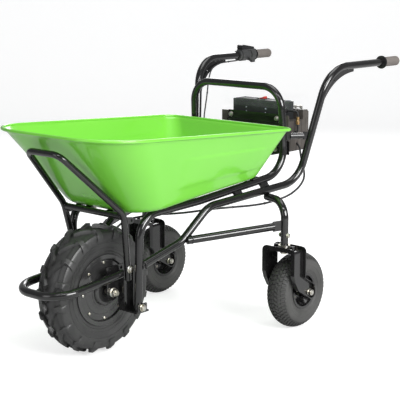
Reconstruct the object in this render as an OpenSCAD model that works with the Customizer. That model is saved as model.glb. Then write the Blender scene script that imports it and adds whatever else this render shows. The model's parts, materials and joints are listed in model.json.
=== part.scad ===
/* [Drive wheel] */
// Diameter of the drive tyre over its lugs
drive_tyre_d = 406; // [360:2:440]
// Width of the drive tyre
drive_tyre_w = 118; // [100:1:124]
// Diameter of the drive rim at the tyre's bead
drive_bead_d = 203; // [190:1:215]
// Width of the drive rim between its flanges
drive_rim_w = 92; // [80:1:98]
// Height of the rim flange over the bead
drive_flange_h = 10; // [6:1:14]
// Diameter of the hub motor's axle in its bearings
axle_d = 20; // [18:1:24]
// Diameter of the axle's flatted ends
axle_end_d = 14; // [12:1:16]
// Radius of the circle of cover bolts
hub_bolt_r = 88; // [80:1:90]
// Number of bolts in each hub cover
hub_bolt_n = 8; // [6:1:12]

/* [Casters] */
// Diameter of a caster tyre
caster_tyre_d = 254; // [230:2:270]
// Width of a caster tyre
caster_tyre_w = 85; // [70:1:92]
// Diameter of a caster rim at the tyre's bead
caster_bead_d = 110; // [100:1:120]
// Gap between the tyre and each fork leg
caster_side_gap = 9; // [6:1:14]
// Distance the wheel trails behind the stem
caster_trail = 66; // [50:1:75]
// Diameter of the caster axle bolt
caster_axle_d = 12; // [10:1:16]
// Width of the fork legs along the barrow
fork_w = 64; // [58:1:76]
// Height of the fork's turned-out flanges
fork_flange = 11.5; // [8:0.5:15]
// Sheet thickness of the forks
fork_t = 3.5; // [2.5:0.5:5]

/* [Frame] */
// Diameter of the main frame tubes
tube_d = 25.4; // [23:0.2:30]
// Wall of all frame tubes
tube_wall = 2; // [1.5:0.25:3]
// Diameter of the caster leg tubes
leg_d = 25.4; // [23:0.2:32]
// Diameter of the front prop and cross tubes
prop_d = 20; // [16:0.5:22]
// Diameter of the bumper tube
bumper_d = 26; // [22:0.5:28]
// Distance from the front of the drive tyre forward to the middle of the bumper's tube
bumper_reach = 37; // [22:1:67]
// Distance from the drive axle back to the rear hoop
hoop_back = 701; // [670:1:730]
// Height of the rear hoop's top bar
hoop_top = 785; // [750:1:810]
// Distance from the drive axle back to the caster stems
stem_back = 556; // [530:1:590]
// Half of the distance between the caster stems
stem_y = 315; // [295:1:335]

/* [Handles] */
// Height of the handle grips
grip_z = 847; // [820:1:880]
// Half of the distance between the grips
grip_y = 292; // [275:1:310]
// Distance from the drive axle back to the grip ends
grip_back = 1230; // [1170:1:1280]
// Length of a grip
grip_len = 98; // [90:1:115]
// Diameter of a grip
grip_d = 34; // [31:1:38]

/* [Tray] */
// Half width of the tray's rim at the front
rim_half_front = 278; // [260:1:290]
// Half width of the tray's rim at the rear
rim_half_rear = 276; // [260:1:290]
// Distance from the drive axle forward to the tray's rim
rim_front = 198; // [180:1:210]
// Distance from the drive axle back to the tray's rim
rim_back = 652; // [635:1:665]
// Height of the tray's rim at the rear
rim_z = 655; // [620:1:680]
// Sheet thickness of the tray
tray_t = 2; // [1.5:0.5:3]

/* [Battery and controls] */
// Width of the battery box across the barrow
battery_w = 300; // [260:2:320]
// Depth of the battery box along the barrow
battery_l = 115; // [100:1:130]
// Height of the battery box
battery_h = 137; // [120:1:150]
// Wall of the battery box
battery_wall = 3; // [2:0.5:4]
// Width of the control box
control_w = 224; // [200:2:240]
// Height of the clear cover
cover_h = 50; // [46:1:60]

/* [Hidden] */
$fn = 48;

// Colours
black = "#16171a";
green = "#6fd03f";
tyre_black = "#2b2c2e";
zinc = "#c9c3ae";
grip_grey = "#5b544c";
box_grey = "#4b4745";
dark_plastic = "#222326";

// Clearances: a weld gap, a turning gap, a running fit and a bearing seat
weld = 0.15;
turn = 0.6;
run = 0.05;
seat = 0.02;

// Where the drive axle stands in the part's own frame, whose origin is on
// the floor, midway between the bumper and the grip ends
x0 = (grip_back - drive_tyre_d / 2 - bumper_reach - bumper_d / 2) / 2;
wheel_z = drive_tyre_d / 2;
caster_z = caster_tyre_d / 2;

tube_r = tube_d / 2;
prop_r = prop_d / 2;
leg_r = leg_d / 2;
bumper_r = bumper_d / 2;

// ---- vectors and bent tubes ----

function unit(v) = v / norm(v);
function flip_y(p) = [p.x, -p.y, p.z];
function mirror_path(pts) = [for (p = pts) flip_y(p)];
function back(pts) = [for (i = [len(pts) - 1:-1:0]) pts[i]];

// Half angle that a bend at vertex i turns through
function half_turn(p, i) = acos(unit(p[i] - p[i - 1]) * unit(p[i + 1] - p[i])) / 2;
// Length of straight tube that the bend at vertex i takes from each side
function trim(p, r, i) = i == 0 || i == len(p) - 1 ? 0 : r[i] * tan(half_turn(p, i));

// Lays the z axis along the direction d, from the point a
module along(a, d) {
    z = unit(d);
    s = abs(z.z) > 0.9 ? [1, 0, 0] : [0, 0, 1];
    x = unit(cross(s, z));
    y = cross(z, x);
    multmatrix([
        [x.x, y.x, z.x, a.x],
        [x.y, y.y, z.y, a.y],
        [x.z, y.z, z.z, a.z],
        [0, 0, 0, 1],
    ])
        children();
}

// A round bar along the points p, with the bend radius r[i] at vertex i. The
// straights run a little way into the bends, which are a hair thicker
module bent_tube(p, r, d) {
    for (i = [0:len(p) - 2]) {
        dir = unit(p[i + 1] - p[i]);
        from = i == 0 ? 0 : trim(p, r, i) - lap;
        to = i == len(p) - 2 ? 0 : trim(p, r, i + 1) - lap;
        along(p[i] + dir * from, dir)
            cylinder(h = norm(p[i + 1] - p[i]) - from - to, d = d);
    }
    for (i = [1:len(p) - 2]) bend(p, r, i)
        rotate_extrude(angle = 2 * half_turn(p, i), $fn = 96)
            translate([r[i], 0])
                circle(d / 2 + swell);
}

lap = 0.6;
swell = 0.04;

// A pipe: a bent tube bored from end to end
module pipe(p, r, d, wall) {
    n = len(p);
    bore = [
        for (i = [0:n - 1])
            i == 0 ? p[0] - unit(p[1] - p[0])
                : i == n - 1 ? p[i] + unit(p[i] - p[i - 1])
                : p[i]
    ];
    difference() {
        bent_tube(p, r, d);
        bent_tube(bore, r, d - 2 * wall);
    }
}

// The frame of the bend at vertex i: centre at the origin, z along its axis,
// the bend starting on +x
module bend(p, r, i) {
    a = unit(p[i] - p[i - 1]);
    b = unit(p[i + 1] - p[i]);
    m = unit(b - (a * b) * a);
    n = cross(a, m);
    c = p[i] - a * trim(p, r, i) + m * r[i];
    multmatrix([
        [-m.x, a.x, n.x, c.x],
        [-m.y, a.y, n.y, c.y],
        [-m.z, a.z, n.z, c.z],
        [0, 0, 0, 1],
    ])
        children();
}

// A straight strut from a to b, flattened over the length tab at a, and at b
// as well when both_ends is set
module strut(a, b, d, tab, both_ends = true) {
    w = b - a;
    far = both_ends ? tab : 0;
    along(a, w) {
        translate([0, 0, tab])
            cylinder(h = norm(w) - tab - far, d = d);
        translate([-2.5, -d * 0.65, 0])
            cube([5, d * 1.3, tab + 1]);
        if (both_ends)
            translate([-2.5, -d * 0.65, norm(w) - tab - 1])
                cube([5, d * 1.3, tab + 1]);
    }
}

// A hexagon-headed bolt, its head's seat at the origin and its shank along -z
module hex_bolt(d, long, washer = 0) {
    translate([0, 0, washer])
        cylinder(h = d * 0.65, r = d * 0.95, $fn = 6);
    if (washer > 0) cylinder(h = washer, r = d * 1.15);
    if (long > 0)
        translate([0, 0, -long])
            cylinder(h = long + 0.1, d = d);
}

// Both sides of the barrow
module both() {
    children();
    mirror([0, 1, 0]) children();
}

module side(left) {
    if (left) children();
    else mirror([0, 1, 0]) children();
}

// ---- the frame's routes, in the drive axle's own frame ----

bracket_in = drive_tyre_w / 2 + 22;
bracket_t = 5;
bracket_out = bracket_in + bracket_t;
bracket_floor = wheel_z - 61;
// The frame's deck stands on the height of the drive tyre's top
deck_z = drive_tyre_d;

hoop_foot = [-50, bracket_out + 57, bracket_floor + bracket_t + 5 * weld];
hoop_knee = [-55, bracket_out + 64, deck_z + 33];
hoop_mid = [-315, bracket_out + 74, deck_z + 45];
hoop_heel = [-hoop_back, 200, deck_z + 92];
hoop_head = [-hoop_back + 18, 193, hoop_top];
hoop_half = [hoop_foot, hoop_knee, hoop_mid, hoop_heel, hoop_head];
hoop_path = concat(hoop_half, back(mirror_path(hoop_half)));
hoop_radii = [0, 74, 300, 95, 75, 75, 95, 300, 74, 0];

// Height of the upper rail's middle line at x, behind its middle bend
function rail_z(x) =
    hoop_mid.z + (hoop_heel.z - hoop_mid.z) * (x - hoop_mid.x) / (hoop_heel.x - hoop_mid.x);
// Half spacing of the upper rails at x
function rail_y(x) =
    hoop_mid.y + (hoop_heel.y - hoop_mid.y) * (x - hoop_mid.x) / (hoop_heel.x - hoop_mid.x);

handle_path = [
    [-grip_back + 8, grip_y, grip_z],
    [-hoop_back - 119, grip_y, grip_z],
    [-hoop_back - 37, 230, deck_z + 60],
    [-332, bracket_out + 96, deck_z + 27],
    [-222, bracket_out + 81, wheel_z + 133],
    [hoop_foot.x - 8, hoop_foot.y + 6, wheel_z + 82],
];
handle_radii = [0, 115, 95, 88, 92, 0];

// Point on the lower rail at x, between its two middle bends
function lower_rail(x) =
    handle_path[2] + (handle_path[3] - handle_path[2])
        * (x - handle_path[2].x) / (handle_path[3].x - handle_path[2].x);

prop_half = [
    [-44, bracket_out + 22, wheel_z + 35],
    [-3, bracket_out + 47, deck_z + 47],
    [193, 69, rim_z - 7],
];
prop_path = concat(prop_half, back(mirror_path(prop_half)));
prop_radii = [0, 60, 34, 34, 60, 0];

bumper_y = bracket_out + bumper_r + weld;
bumper_back = [-29, bumper_y, wheel_z + 56];
bumper_nose = [wheel_z + bumper_reach, bumper_y + 3, wheel_z + 29];
bumper_path = [bumper_back, bumper_nose, flip_y(bumper_nose), flip_y(bumper_back)];
bumper_radii = [0, 80, 80, 0];

module main_hoop() {
    color(black) translate([x0, 0, 0]) pipe(hoop_path, hoop_radii, tube_d, tube_wall);
}

module handle(left) {
    color(black) translate([x0, 0, 0]) side(left) difference() {
        pipe(handle_path, handle_radii, tube_d, tube_wall);
        // coped to the hoop's upright
        along(hoop_foot, hoop_knee - hoop_foot)
            cylinder(h = 300, r = tube_r + weld);
    }
}

module front_prop() {
    color(black) translate([x0, 0, 0]) {
        pipe(prop_path, prop_radii, prop_d, tube_wall);
        // lugs that tie the prop to the hoop's knees, each with a free hole
        both() difference() {
            hull() {
                translate([lug_hole.x + 20, lug_hole.y, lug_hole.z + 3]) rotate([90, 0, 0])
                    cylinder(h = 5, r = 10, center = true, $fn = 32);
                translate([lug_hole.x - 1, lug_hole.y, lug_hole.z]) rotate([90, 0, 0])
                    cylinder(h = 5, r = 10, center = true, $fn = 32);
            }
            translate([lug_hole.x, 160, lug_hole.z]) rotate([90, 0, 0])
                cylinder(h = 60, d = lug_hole_d);
            along(prop_half[0], prop_half[1] - prop_half[0])
                cylinder(h = 300, r = prop_r - 0.5);
            hoop_local();
        }
    }
}

lug_hole = [-31, bracket_out + 50, deck_z + 24];
lug_hole_d = 8.5;

// The hoop's knee, for copes
module hoop_local() {
    bend(hoop_path, hoop_radii, 1)
        rotate_extrude(angle = 2 * half_turn(hoop_path, 1), $fn = 96)
            translate([hoop_radii[1], 0])
                circle(tube_r + weld);
    along(hoop_foot, hoop_knee - hoop_foot)
        cylinder(h = norm(hoop_knee - hoop_foot) - 40, r = tube_r + weld);
}

module front_bumper() {
    color(black) translate([x0, 0, 0]) difference() {
        pipe(bumper_path, bumper_radii, bumper_d, tube_wall);
        both() along(prop_half[0] - [0, 0, 40], prop_half[1] - prop_half[0])
            cylinder(h = 150, r = prop_r + weld);
    }
}

module cross_tube() {
    color(black) translate([x0, 0, 0]) difference() {
        translate([cross_at.x, 0, cross_at.z]) rotate([90, 0, 0])
            cylinder(h = 2 * prop_half[1].y, d = prop_d, center = true);
        both() {
            bend(prop_path, prop_radii, 1)
                rotate_extrude(angle = 2 * half_turn(prop_path, 1), $fn = 96)
                    translate([prop_radii[1], 0])
                        circle(prop_r + weld);
            along(prop_half[0], prop_half[1] - prop_half[0])
                cylinder(h = 210, r = prop_r + weld);
        }
    }
}

cross_at = [-5, 0, deck_z + 38];

// ---- caster legs, braces and ties ----

leg_in_x = -stem_back - 36;
leg_top_z = lower_rail(leg_in_x).z - tube_r - leg_r + 3;
stem_end = caster_tyre_d + 36;
leg_path = [
    [leg_in_x, lower_rail(leg_in_x).y - 1, leg_top_z],
    [-stem_back, stem_y, leg_top_z],
    [-stem_back, stem_y, stem_end],
];

module caster_leg(left) {
    color(black) translate([x0, 0, 0]) side(left) difference() {
        bent_tube(leg_path, [0, 58, 0], leg_d);
        // stem bore for the kingpin
        translate([-stem_back, stem_y, stem_end - 1])
            cylinder(h = 46, d = kingpin_d + 2 * seat);
        along(lower_rail(leg_in_x - 80), lower_rail(leg_in_x + 80) - lower_rail(leg_in_x - 80))
            cylinder(h = 170, r = tube_r + weld);
    }
}

brace_a = [-stem_back + leg_r, stem_y - 6, stem_end + 65];
brace_b = [-232, bracket_out + 95, wheel_z + 137];
brace_d = 25.4;

module leg_brace(left) {
    color(black) translate([x0, 0, 0]) side(left) difference() {
        strut(brace_a - [6, -2, 0], brace_b, brace_d, 34, false);
        translate([-stem_back, stem_y, 300])
            cylinder(h = 100, r = leg_r + weld);
        for (i = [3, 5])
            along(handle_path[i], handle_path[4] - handle_path[i])
                cylinder(
                    h = norm(handle_path[4] - handle_path[i])
                        - trim(handle_path, handle_radii, 4) + 0.3,
                    r = tube_r + 3 * weld
                );
        bend(handle_path, handle_radii, 4)
            rotate_extrude(angle = 2 * half_turn(handle_path, 4), $fn = 96)
                translate([handle_radii[4], 0])
                    circle(tube_r + weld);
    }
}

tie_z = deck_z + 215;
// Point on the handle's upright at the height z
function upright(z) =
    handle_path[1] + (handle_path[2] - handle_path[1])
        * (z - handle_path[1].z) / (handle_path[2].z - handle_path[1].z);
function hoop_upright(z) =
    hoop_heel + (hoop_head - hoop_heel) * (z - hoop_heel.z) / (hoop_head.z - hoop_heel.z);

module side_tie(left) {
    color(black) translate([x0, 0, 0]) side(left) difference() {
        strut(hoop_upright(tie_z), upright(tie_z), 20, 26);
        along(hoop_heel, hoop_head - hoop_heel)
            cylinder(h = 220, r = tube_r + weld);
        along(handle_path[2], handle_path[1] - handle_path[2])
            cylinder(h = 300, r = tube_r + weld);
    }
}

// ---- front fork brackets ----

bracket_back = -78;
drop_w = 50;
bracket_top = wheel_z + 83;
flange_out = 20;

module fork_bracket(left) {
    color(black) translate([x0, 0, 0]) side(left) difference() {
        union() {
            // side plate with the dropout
            translate([0, bracket_out, 0]) rotate([90, 0, 0])
                linear_extrude(bracket_t) {
                    polygon([
                        [bracket_back, bracket_floor],
                        [-26, bracket_floor],
                        [-26, wheel_z + 25],
                        [-drop_w / 2, wheel_z + 25],
                        [-drop_w / 2, wheel_z],
                        [drop_w / 2, wheel_z],
                        [drop_w / 2, bracket_top],
                        [bracket_back, bracket_top],
                    ]);
                    translate([0, wheel_z])
                        circle(d = drop_w);
                }
            // turned-out flanges
            translate([-31, bracket_out - 1, bracket_floor])
                cube([5, flange_out, wheel_z + 41 - bracket_floor]);
            translate([bracket_back, bracket_out - 1, bracket_floor])
                cube([5, flange_out - 4, bracket_top - bracket_floor - 12]);
            // floor under the hoop's foot, with its outer lug
            translate([bracket_back, bracket_in, bracket_floor])
                cube([-26 - bracket_back, foot_out - bracket_in, bracket_t]);
            translate([-70, foot_out - 5, bracket_floor])
                cube([40, 5, 28]);
        }
        translate([0, 0, wheel_z]) rotate([90, 0, 0])
            cylinder(h = 400, d = axle_end_d + 2 * run, center = true);
        // bolt holes
        translate([prop_bolt.x, 0, prop_bolt.z]) rotate([90, 0, 0])
            cylinder(h = 400, d = 10.2, center = true);
        translate([foot_bolt.x, 0, foot_bolt.z]) rotate([-90, 0, 0])
            cylinder(h = 400, d = 10.2);
    }
}

foot_out = hoop_foot.y + tube_r + 6 * weld + 5;
prop_bolt = [-36, 0, wheel_z + 72];
foot_bolt = [-50, 0, bracket_floor + 16];
prop_bolt_y = bracket_out + 22 + prop_r
    + (prop_bolt.z - prop_half[0].z) * (prop_half[1].y - prop_half[0].y)
        / (prop_half[1].z - prop_half[0].z);

// ---- gussets, clamps and fasteners ----

function bezier(a, b, c, n) =
    [for (i = [0:n]) let (t = i / n) (1 - t) * (1 - t) * a + 2 * t * (1 - t) * b + t * t * c];

module handle_gusset(left) {
    turn_a = 2 * half_turn(handle_path, 1);
    ri = handle_radii[1] - tube_r - weld;
    d1 = [ri, -52];
    d2 = [ri * cos(turn_a) - 44 * sin(turn_a), ri * sin(turn_a) + 44 * cos(turn_a)];
    mid = (ri + 8) * [cos(turn_a / 2), sin(turn_a / 2)];
    color(black) translate([x0, 0, 0]) side(left)
        bend(handle_path, handle_radii, 1)
            translate([0, 0, -2])
                linear_extrude(4) difference() {
                    polygon(concat(
                        [d1],
                        [for (i = [0:16]) ri * [cos(turn_a * i / 16), sin(turn_a * i / 16)]],
                        bezier(d2, mid, d1 - [9, 0], 14)
                    ));
                    translate((ri - 13) * [cos(turn_a / 2), sin(turn_a / 2)])
                        circle(r = 3.1);
                }
}

clamp_xs = [-470, -590];

module rail_clamps() {
    color(black) translate([x0, 0, 0]) both() for (x = clamp_xs) difference() {
        hull() {
            translate([x, rail_y(x), rail_z(x)])
                cube([36, 12, 1], center = true);
            translate([x, lower_rail(x).y, lower_rail(x).z])
                cube([36, 12, 1], center = true);
        }
        along(hoop_mid, hoop_heel - hoop_mid)
            cylinder(h = 340, r = tube_r + weld);
        along(handle_path[3], handle_path[2] - handle_path[3])
            cylinder(h = 400, r = tube_r + weld);
    }
}

// Height of the tray floor's underside at x
function floor_z(x) =
    floor_front + (floor_rear - floor_front) * (x - hoop_knee.x) / (saddle_x - hoop_knee.x);
saddle_t = 4;
saddle_x = -555;
floor_front = hoop_knee.z + tube_r + 0.4;
floor_rear = rail_z(saddle_x) + tube_r + saddle_t + 0.4;
rail_tilt = atan2(hoop_heel.z - hoop_mid.z, hoop_mid.x - hoop_heel.x);
saddle_bolt_y = 150;
front_block_y = 48;

module tray_saddles() {
    color(black) translate([x0, 0, 0]) {
        // rear bar across the rails
        difference() {
            translate([saddle_x, 0, rail_z(saddle_x) + tube_r + 0.2]) rotate([0, rail_tilt, 0])
                translate([-16, -rail_y(saddle_x) - 12, 0])
                    cube([32, 2 * rail_y(saddle_x) + 24, saddle_t - 0.6]);
            both() translate([saddle_x, saddle_bolt_y, floor_rear - 50])
                cylinder(h = 100, d = 8.4);
        }
        // front lugs on the cross tube
        both() difference() {
            translate([0, front_block_y, 0]) rotate([90, 0, 0])
                linear_extrude(28, center = true)
                    polygon([
                        [front_bolt_x - 14, floor_z(front_bolt_x - 14) - 0.4],
                        [front_bolt_x - 14, floor_z(front_bolt_x - 14) - 6.4],
                        [cross_at.x, floor_z(cross_at.x) - 6.4],
                        [cross_at.x, floor_z(cross_at.x) - 0.4],
                    ]);
            translate([cross_at.x, 0, cross_at.z]) rotate([90, 0, 0])
                cylinder(h = 400, r = prop_r + weld, center = true);
            translate([front_bolt_x, front_block_y, floor_front - 50])
                cylinder(h = 100, d = 8.4);
        }
    }
}

front_bolt_x = -54;

module tray_bolts() {
    color(zinc) translate([x0, 0, 0]) both() {
        translate([saddle_x, saddle_bolt_y, floor_z(saddle_x) + tray_t + 2]) {
            cylinder(h = 3.4, r = 8);
            translate([0, 0, -24]) cylinder(h = 25, d = 8);
        }
        translate([saddle_x, saddle_bolt_y, floor_z(saddle_x) - saddle_t - 10])
            cylinder(h = 6.5, r = 7.5, $fn = 6);
        translate([front_bolt_x, front_block_y, floor_z(front_bolt_x) + tray_t + 2]) {
            cylinder(h = 3.4, r = 8);
            translate([0, 0, -24]) cylinder(h = 25, d = 8);
        }
        translate([front_bolt_x, front_block_y, floor_z(front_bolt_x) - 16])
            cylinder(h = 6.5, r = 7.5, $fn = 6);
    }
}

module frame_bolts() {
    color(zinc) translate([x0, 0, 0]) both() {
        // prop, bumper and bracket
        translate([prop_bolt.x, prop_bolt_y + 1.6, prop_bolt.z]) rotate([-90, 0, 0])
            hex_bolt(10, 0, 2);
        translate([prop_bolt.x, bracket_in - 1, prop_bolt.z]) rotate([90, 0, 0]) hex_bolt(10, 0, 1.5);
        // hoop foot
        translate([foot_bolt.x, foot_out + 0.2, foot_bolt.z]) rotate([-90, 0, 0]) hex_bolt(10, 5, 2);
        // heads of the bolt across each caster stem
        for (s = [-1, 1])
            translate([-stem_back, stem_y + s * (leg_r + 0.2), stem_end + 32])
                rotate([-90 * s, 0, 0]) hex_bolt(8, 0, 1.5);
    }
}

// ---- tray ----

// Rounded rectangle in plan: x from xb to xf, half widths wb and wf, corner
// radii rb and rf, as n points per corner
function plan(xb, xf, wb, wf, rb, rf, n) = concat(
    [for (i = [0:n]) [xf - rf + rf * cos(90 * i / n), wf - rf + rf * sin(90 * i / n)]],
    [for (i = [0:n]) [xb + rb - rb * sin(90 * i / n), wb - rb + rb * cos(90 * i / n)]],
    [for (i = [n:-1:0]) [xb + rb - rb * sin(90 * i / n), -wb + rb - rb * cos(90 * i / n)]],
    [for (i = [n:-1:0]) [xf - rf + rf * cos(90 * i / n), -wf + rf - rf * sin(90 * i / n)]]
);

plan_n = 9;
rim_plan = plan(-rim_back, rim_front, rim_half_rear, rim_half_front, 48, 165, plan_n);
floor_plan = plan(-588, -22, 199, 193, 60, 100, plan_n);
rim_slope = 0.0536;
function rim_height(x) = rim_z + rim_slope * (x + rim_back);

// A loop of the tray at the height fraction t, moved in by e and up by e
function tray_loop(t, e) = [
    for (i = [0:len(rim_plan) - 1])
        let (
            a = floor_plan[i],
            b = rim_plan[i],
            q = a + (b - a) * t,
            out = unit(b - a),
            z = floor_z(a.x) + (rim_height(b.x) - floor_z(a.x)) * t
        )
        [q.x - out.x * e, q.y - out.y * e, z + e * 0.3 * (1 - t)]
];

// The bottom edge is rounded: the outer skin starts inboard of the floor plan
function sole_loop(k, e) = [
    for (p = floor_plan)
        let (c = [-300, 0], v = unit(p - c), q = p - v * k)
        [q.x, q.y, floor_z(q.x) + e]
];

// The rim rolls outward: loops around a bead of radius r outside the edge
function bead_loop(r, ang) = [
    for (i = [0:len(rim_plan) - 1])
        let (out = unit(rim_plan[i] - floor_plan[i]), b = rim_plan[i])
        [
            b.x + out.x * (r * (1 - cos(ang)) - tray_t * 0.5),
            b.y + out.y * (r * (1 - cos(ang)) - tray_t * 0.5),
            rim_height(b.x) + r * sin(ang),
        ]
];

tray_rings = concat(
    [sole_loop(11, 0)],
    [for (t = [0.03, 0.1, 0.3, 0.55, 0.8, 0.97]) tray_loop(t, 0)],
    [for (a = [-50, -80, -120, -160, 160, 120, 80, 40]) bead_loop(5, a + 0)],
    [for (t = [0.97, 0.8, 0.55, 0.3, 0.1, 0.04]) tray_loop(t, tray_t + 0.4)],
    [sole_loop(13.5, tray_t)]
);

module tray() {
    n = len(rim_plan);
    m = len(tray_rings);
    color(green) translate([x0, 0, 0]) difference() {
        polyhedron(
            points = [for (ring = tray_rings) each ring],
            faces = concat(
                [[for (i = [0:n - 1]) i]],
                [for (k = [0:m - 2], i = [0:n - 1])
                    [k * n + i, k * n + n + i, k * n + (i + 1) % n]],
                [for (k = [0:m - 2], i = [0:n - 1])
                    [k * n + (i + 1) % n, k * n + n + i, k * n + n + (i + 1) % n]],
                [[for (i = [n - 1:-1:0]) (m - 1) * n + i]]
            ),
            convexity = 8
        );
        both() {
            translate([saddle_x, saddle_bolt_y, floor_rear - 40])
                cylinder(h = 80, d = 8.4);
            translate([front_bolt_x, front_block_y, floor_front - 30])
                cylinder(h = 60, d = 8.4);
        }
    }
}

// ---- battery box, controls and cover ----

box_front = -hoop_back - 84;
box_back = box_front - battery_l;
box_top = hoop_top - 95;
box_floor = box_top - battery_h;
ledge_z = box_top - 34;
ledge_back = box_front - 83;
half_box = battery_w / 2;
bar_z = box_floor + 26;
plate_y = hoop_upright(bar_z).y;
crossbar_x = hoop_upright(bar_z).x - tube_r - 1;

module box_crossbar() {
    color(black) translate([x0, 0, 0]) difference() {
        union() {
            // bar behind the hoop's uprights
            translate([crossbar_x - 4, -plate_y - 12, bar_z - 23])
                cube([4, 2 * plate_y + 24, 46]);
            // shelf under the battery box
            translate([box_back, -half_box + 10, box_floor - 4.3])
                cube([crossbar_x - box_back, battery_w - 20, 4]);
            // upright webs that join the shelf to the bar
            for (y = [-120, 0, 120])
                translate([box_front + 1, y - 2, box_floor - 2])
                    cube([crossbar_x - 2 - box_front, 4, 58]);
        }
        for (y = [-spare_y, spare_y])
            translate([crossbar_x - 20, y, bar_z]) rotate([0, 90, 0])
                cylinder(h = 40, d = 8.5);
        for (y = [-bar_bolt_y, bar_bolt_y])
            translate([crossbar_x - 20, y, bar_z - 7]) rotate([0, 90, 0])
                cylinder(h = 40, d = 8.4);
    }
}

spare_y = 178;
bar_bolt_y = 154;
strap_bolt_y = 103;
strap_bolt_z = ledge_z + 8.2;
strap_x = box_front + 0.3;

// Bolts through the strap and the crossbar
module box_bolts() {
    color(zinc) translate([x0, 0, 0]) both() {
        translate([strap_x + 4.2, strap_bolt_y, strap_bolt_z]) rotate([0, 90, 0])
            hex_bolt(8, 16, 1.6);
        translate([box_front - 4.2 - 6, strap_bolt_y, strap_bolt_z]) rotate([0, 90, 0])
            cylinder(h = 6, r = 7.4, $fn = 6);
        translate([crossbar_x + 0.2, bar_bolt_y, bar_z - 7]) rotate([0, 90, 0])
            hex_bolt(8, 12, 1.6);
        translate([crossbar_x - 4.2 - 6, bar_bolt_y, bar_z - 7]) rotate([0, 90, 0])
            cylinder(h = 6, r = 7.4, $fn = 6);
    }
}

module box_strap() {
    color(black) translate([x0, 0, 0]) difference() {
        union() {
            translate([strap_x, -116, ledge_z - 11]) cube([4, 232, 34]);
            translate([strap_x, -116, ledge_z - 11]) cube([12, 232, 4]);
        }
        for (y = [-strap_bolt_y, strap_bolt_y])
            translate([box_front - 20, y, strap_bolt_z]) rotate([0, 90, 0])
                cylinder(h = 60, d = 8.4);
    }
}

module battery_box() {
    w = battery_wall;
    color(box_grey) translate([x0, 0, 0]) difference() {
        rotate([90, 0, 0])
            linear_extrude(battery_w, center = true)
                difference() {
                    polygon([
                        [box_back, box_floor],
                        [box_front, box_floor],
                        [box_front, ledge_z + 20],
                        [box_front - 4, ledge_z + 20],
                        [box_front - 4, ledge_z],
                        [ledge_back, ledge_z],
                        [ledge_back, box_top],
                        [box_back + 8, box_top],
                        [box_back, box_top - 8],
                    ]);
                    polygon([
                        [box_back + w, box_floor + w],
                        [box_front - w, box_floor + w],
                        [box_front - w, ledge_z - w],
                        [ledge_back - w, ledge_z - w],
                        [ledge_back - w, box_top - w],
                        [box_back + w, box_top - w],
                    ]);
                }
        for (y = [-strap_bolt_y, strap_bolt_y])
            translate([box_front - 20, y, strap_bolt_z]) rotate([0, 90, 0])
                cylinder(h = 60, d = 8.4);
        translate([lead_x, half_box - 10, lead_low]) rotate([-90, 0, 0])
            cylinder(h = 20, d = 12.1);
        translate([motor_exit.x, half_box - 10, motor_exit.z]) rotate([-90, 0, 0])
            cylinder(h = 20, d = 9);
    }
    // end walls
    color(box_grey) translate([x0, 0, 0]) difference() {
        both() translate([0, half_box, 0]) rotate([90, 0, 0])
            linear_extrude(battery_wall)
                polygon([
                    [box_back + 1, box_floor + 1],
                    [box_front - 1, box_floor + 1],
                    [box_front - 1, ledge_z - 1],
                    [ledge_back - 1, ledge_z - 1],
                    [ledge_back - 1, box_top - 1],
                    [box_back + 8, box_top - 1],
                    [box_back + 1, box_top - 8],
                ]);
        translate([lead_x, half_box - 10, lead_low]) rotate([-90, 0, 0])
            cylinder(h = 20, d = 12.1);
        translate([motor_exit.x, half_box - 10, motor_exit.z]) rotate([-90, 0, 0])
            cylinder(h = 20, d = 9);
    }
}

module battery_pack() {
    gap = battery_wall + 3;
    color("#2f5d8a") translate([x0, 0, 0])
        translate([box_back + gap, -half_box + gap + 14, box_floor + battery_wall + 0.3])
            cube([battery_l - 2 * gap, battery_w - 2 * gap - 28, 84]);
}

control_front = box_front - 18;
control_l = 60;
control_top = ledge_z + 64;
control_wall = 2.5;

module control_box() {
    half = control_w / 2;
    color(dark_plastic) translate([x0, 0, 0]) difference() {
        union() {
            translate([control_front - control_l, -half, ledge_z + 0.3])
                cube([control_l, control_w, control_top - ledge_z - 2.3]);
            translate([control_front - control_l + 4, -half + 8, control_top - 3])
                cube([control_l - 8, control_w - 16, 3]);
        }
        translate([control_front - control_l + control_wall, -half + control_wall,
                ledge_z + control_wall])
            cube([control_l - 2 * control_wall, control_w - 2 * control_wall,
                control_top - ledge_z - 2 * control_wall - 2.5]);
        translate([switch_x, 0, control_top - 20])
            cube([22.2, 29.2, 60], center = true);
        translate([lead_x, half - 10, lead_high]) rotate([-90, 0, 0])
            cylinder(h = 20, d = 10.1);
    }
}

module control_board() {
    color("#1f6b3a") translate([x0, 0, 0]) {
        translate([control_front - control_l + 8, -88, ledge_z + 10])
            cube([control_l - 16, 176, 1.6]);
        for (y = [-66, -40, 46])
            translate([control_front - control_l + 16, y - 9, ledge_z + 11.6])
                cube([22, 18, 14]);
        translate([control_front - control_l + 14, 62, ledge_z + 11.6])
            cube([30, 22, 10]);
        for (y = [-80, 80], x = [14, 46])
            translate([control_front - control_l + x, y, ledge_z + control_wall + 0.1])
                cylinder(h = 7.3, d = 6);
    }
}

switch_x = control_front - control_l / 2;
rocker_pivot = [switch_x, 0, control_top + 1.5];

module switch_bezel() {
    color(black) translate([x0, 0, 0]) difference() {
        union() {
            translate([switch_x - 14, -18, control_top + 0.1]) cube([28, 36, 3]);
            translate([switch_x - 11, -14.5, control_top - 18]) cube([22, 29, 18.5]);
        }
        translate([switch_x - 9, -13.2, control_top - 15.5]) cube([18, 26.4, 40]);
        translate([rocker_pivot.x, 0, rocker_pivot.z - 4]) rotate([0, 90, 0])
            cylinder(h = 20.2, d = 3 + 2 * run, center = true);
    }
}

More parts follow.
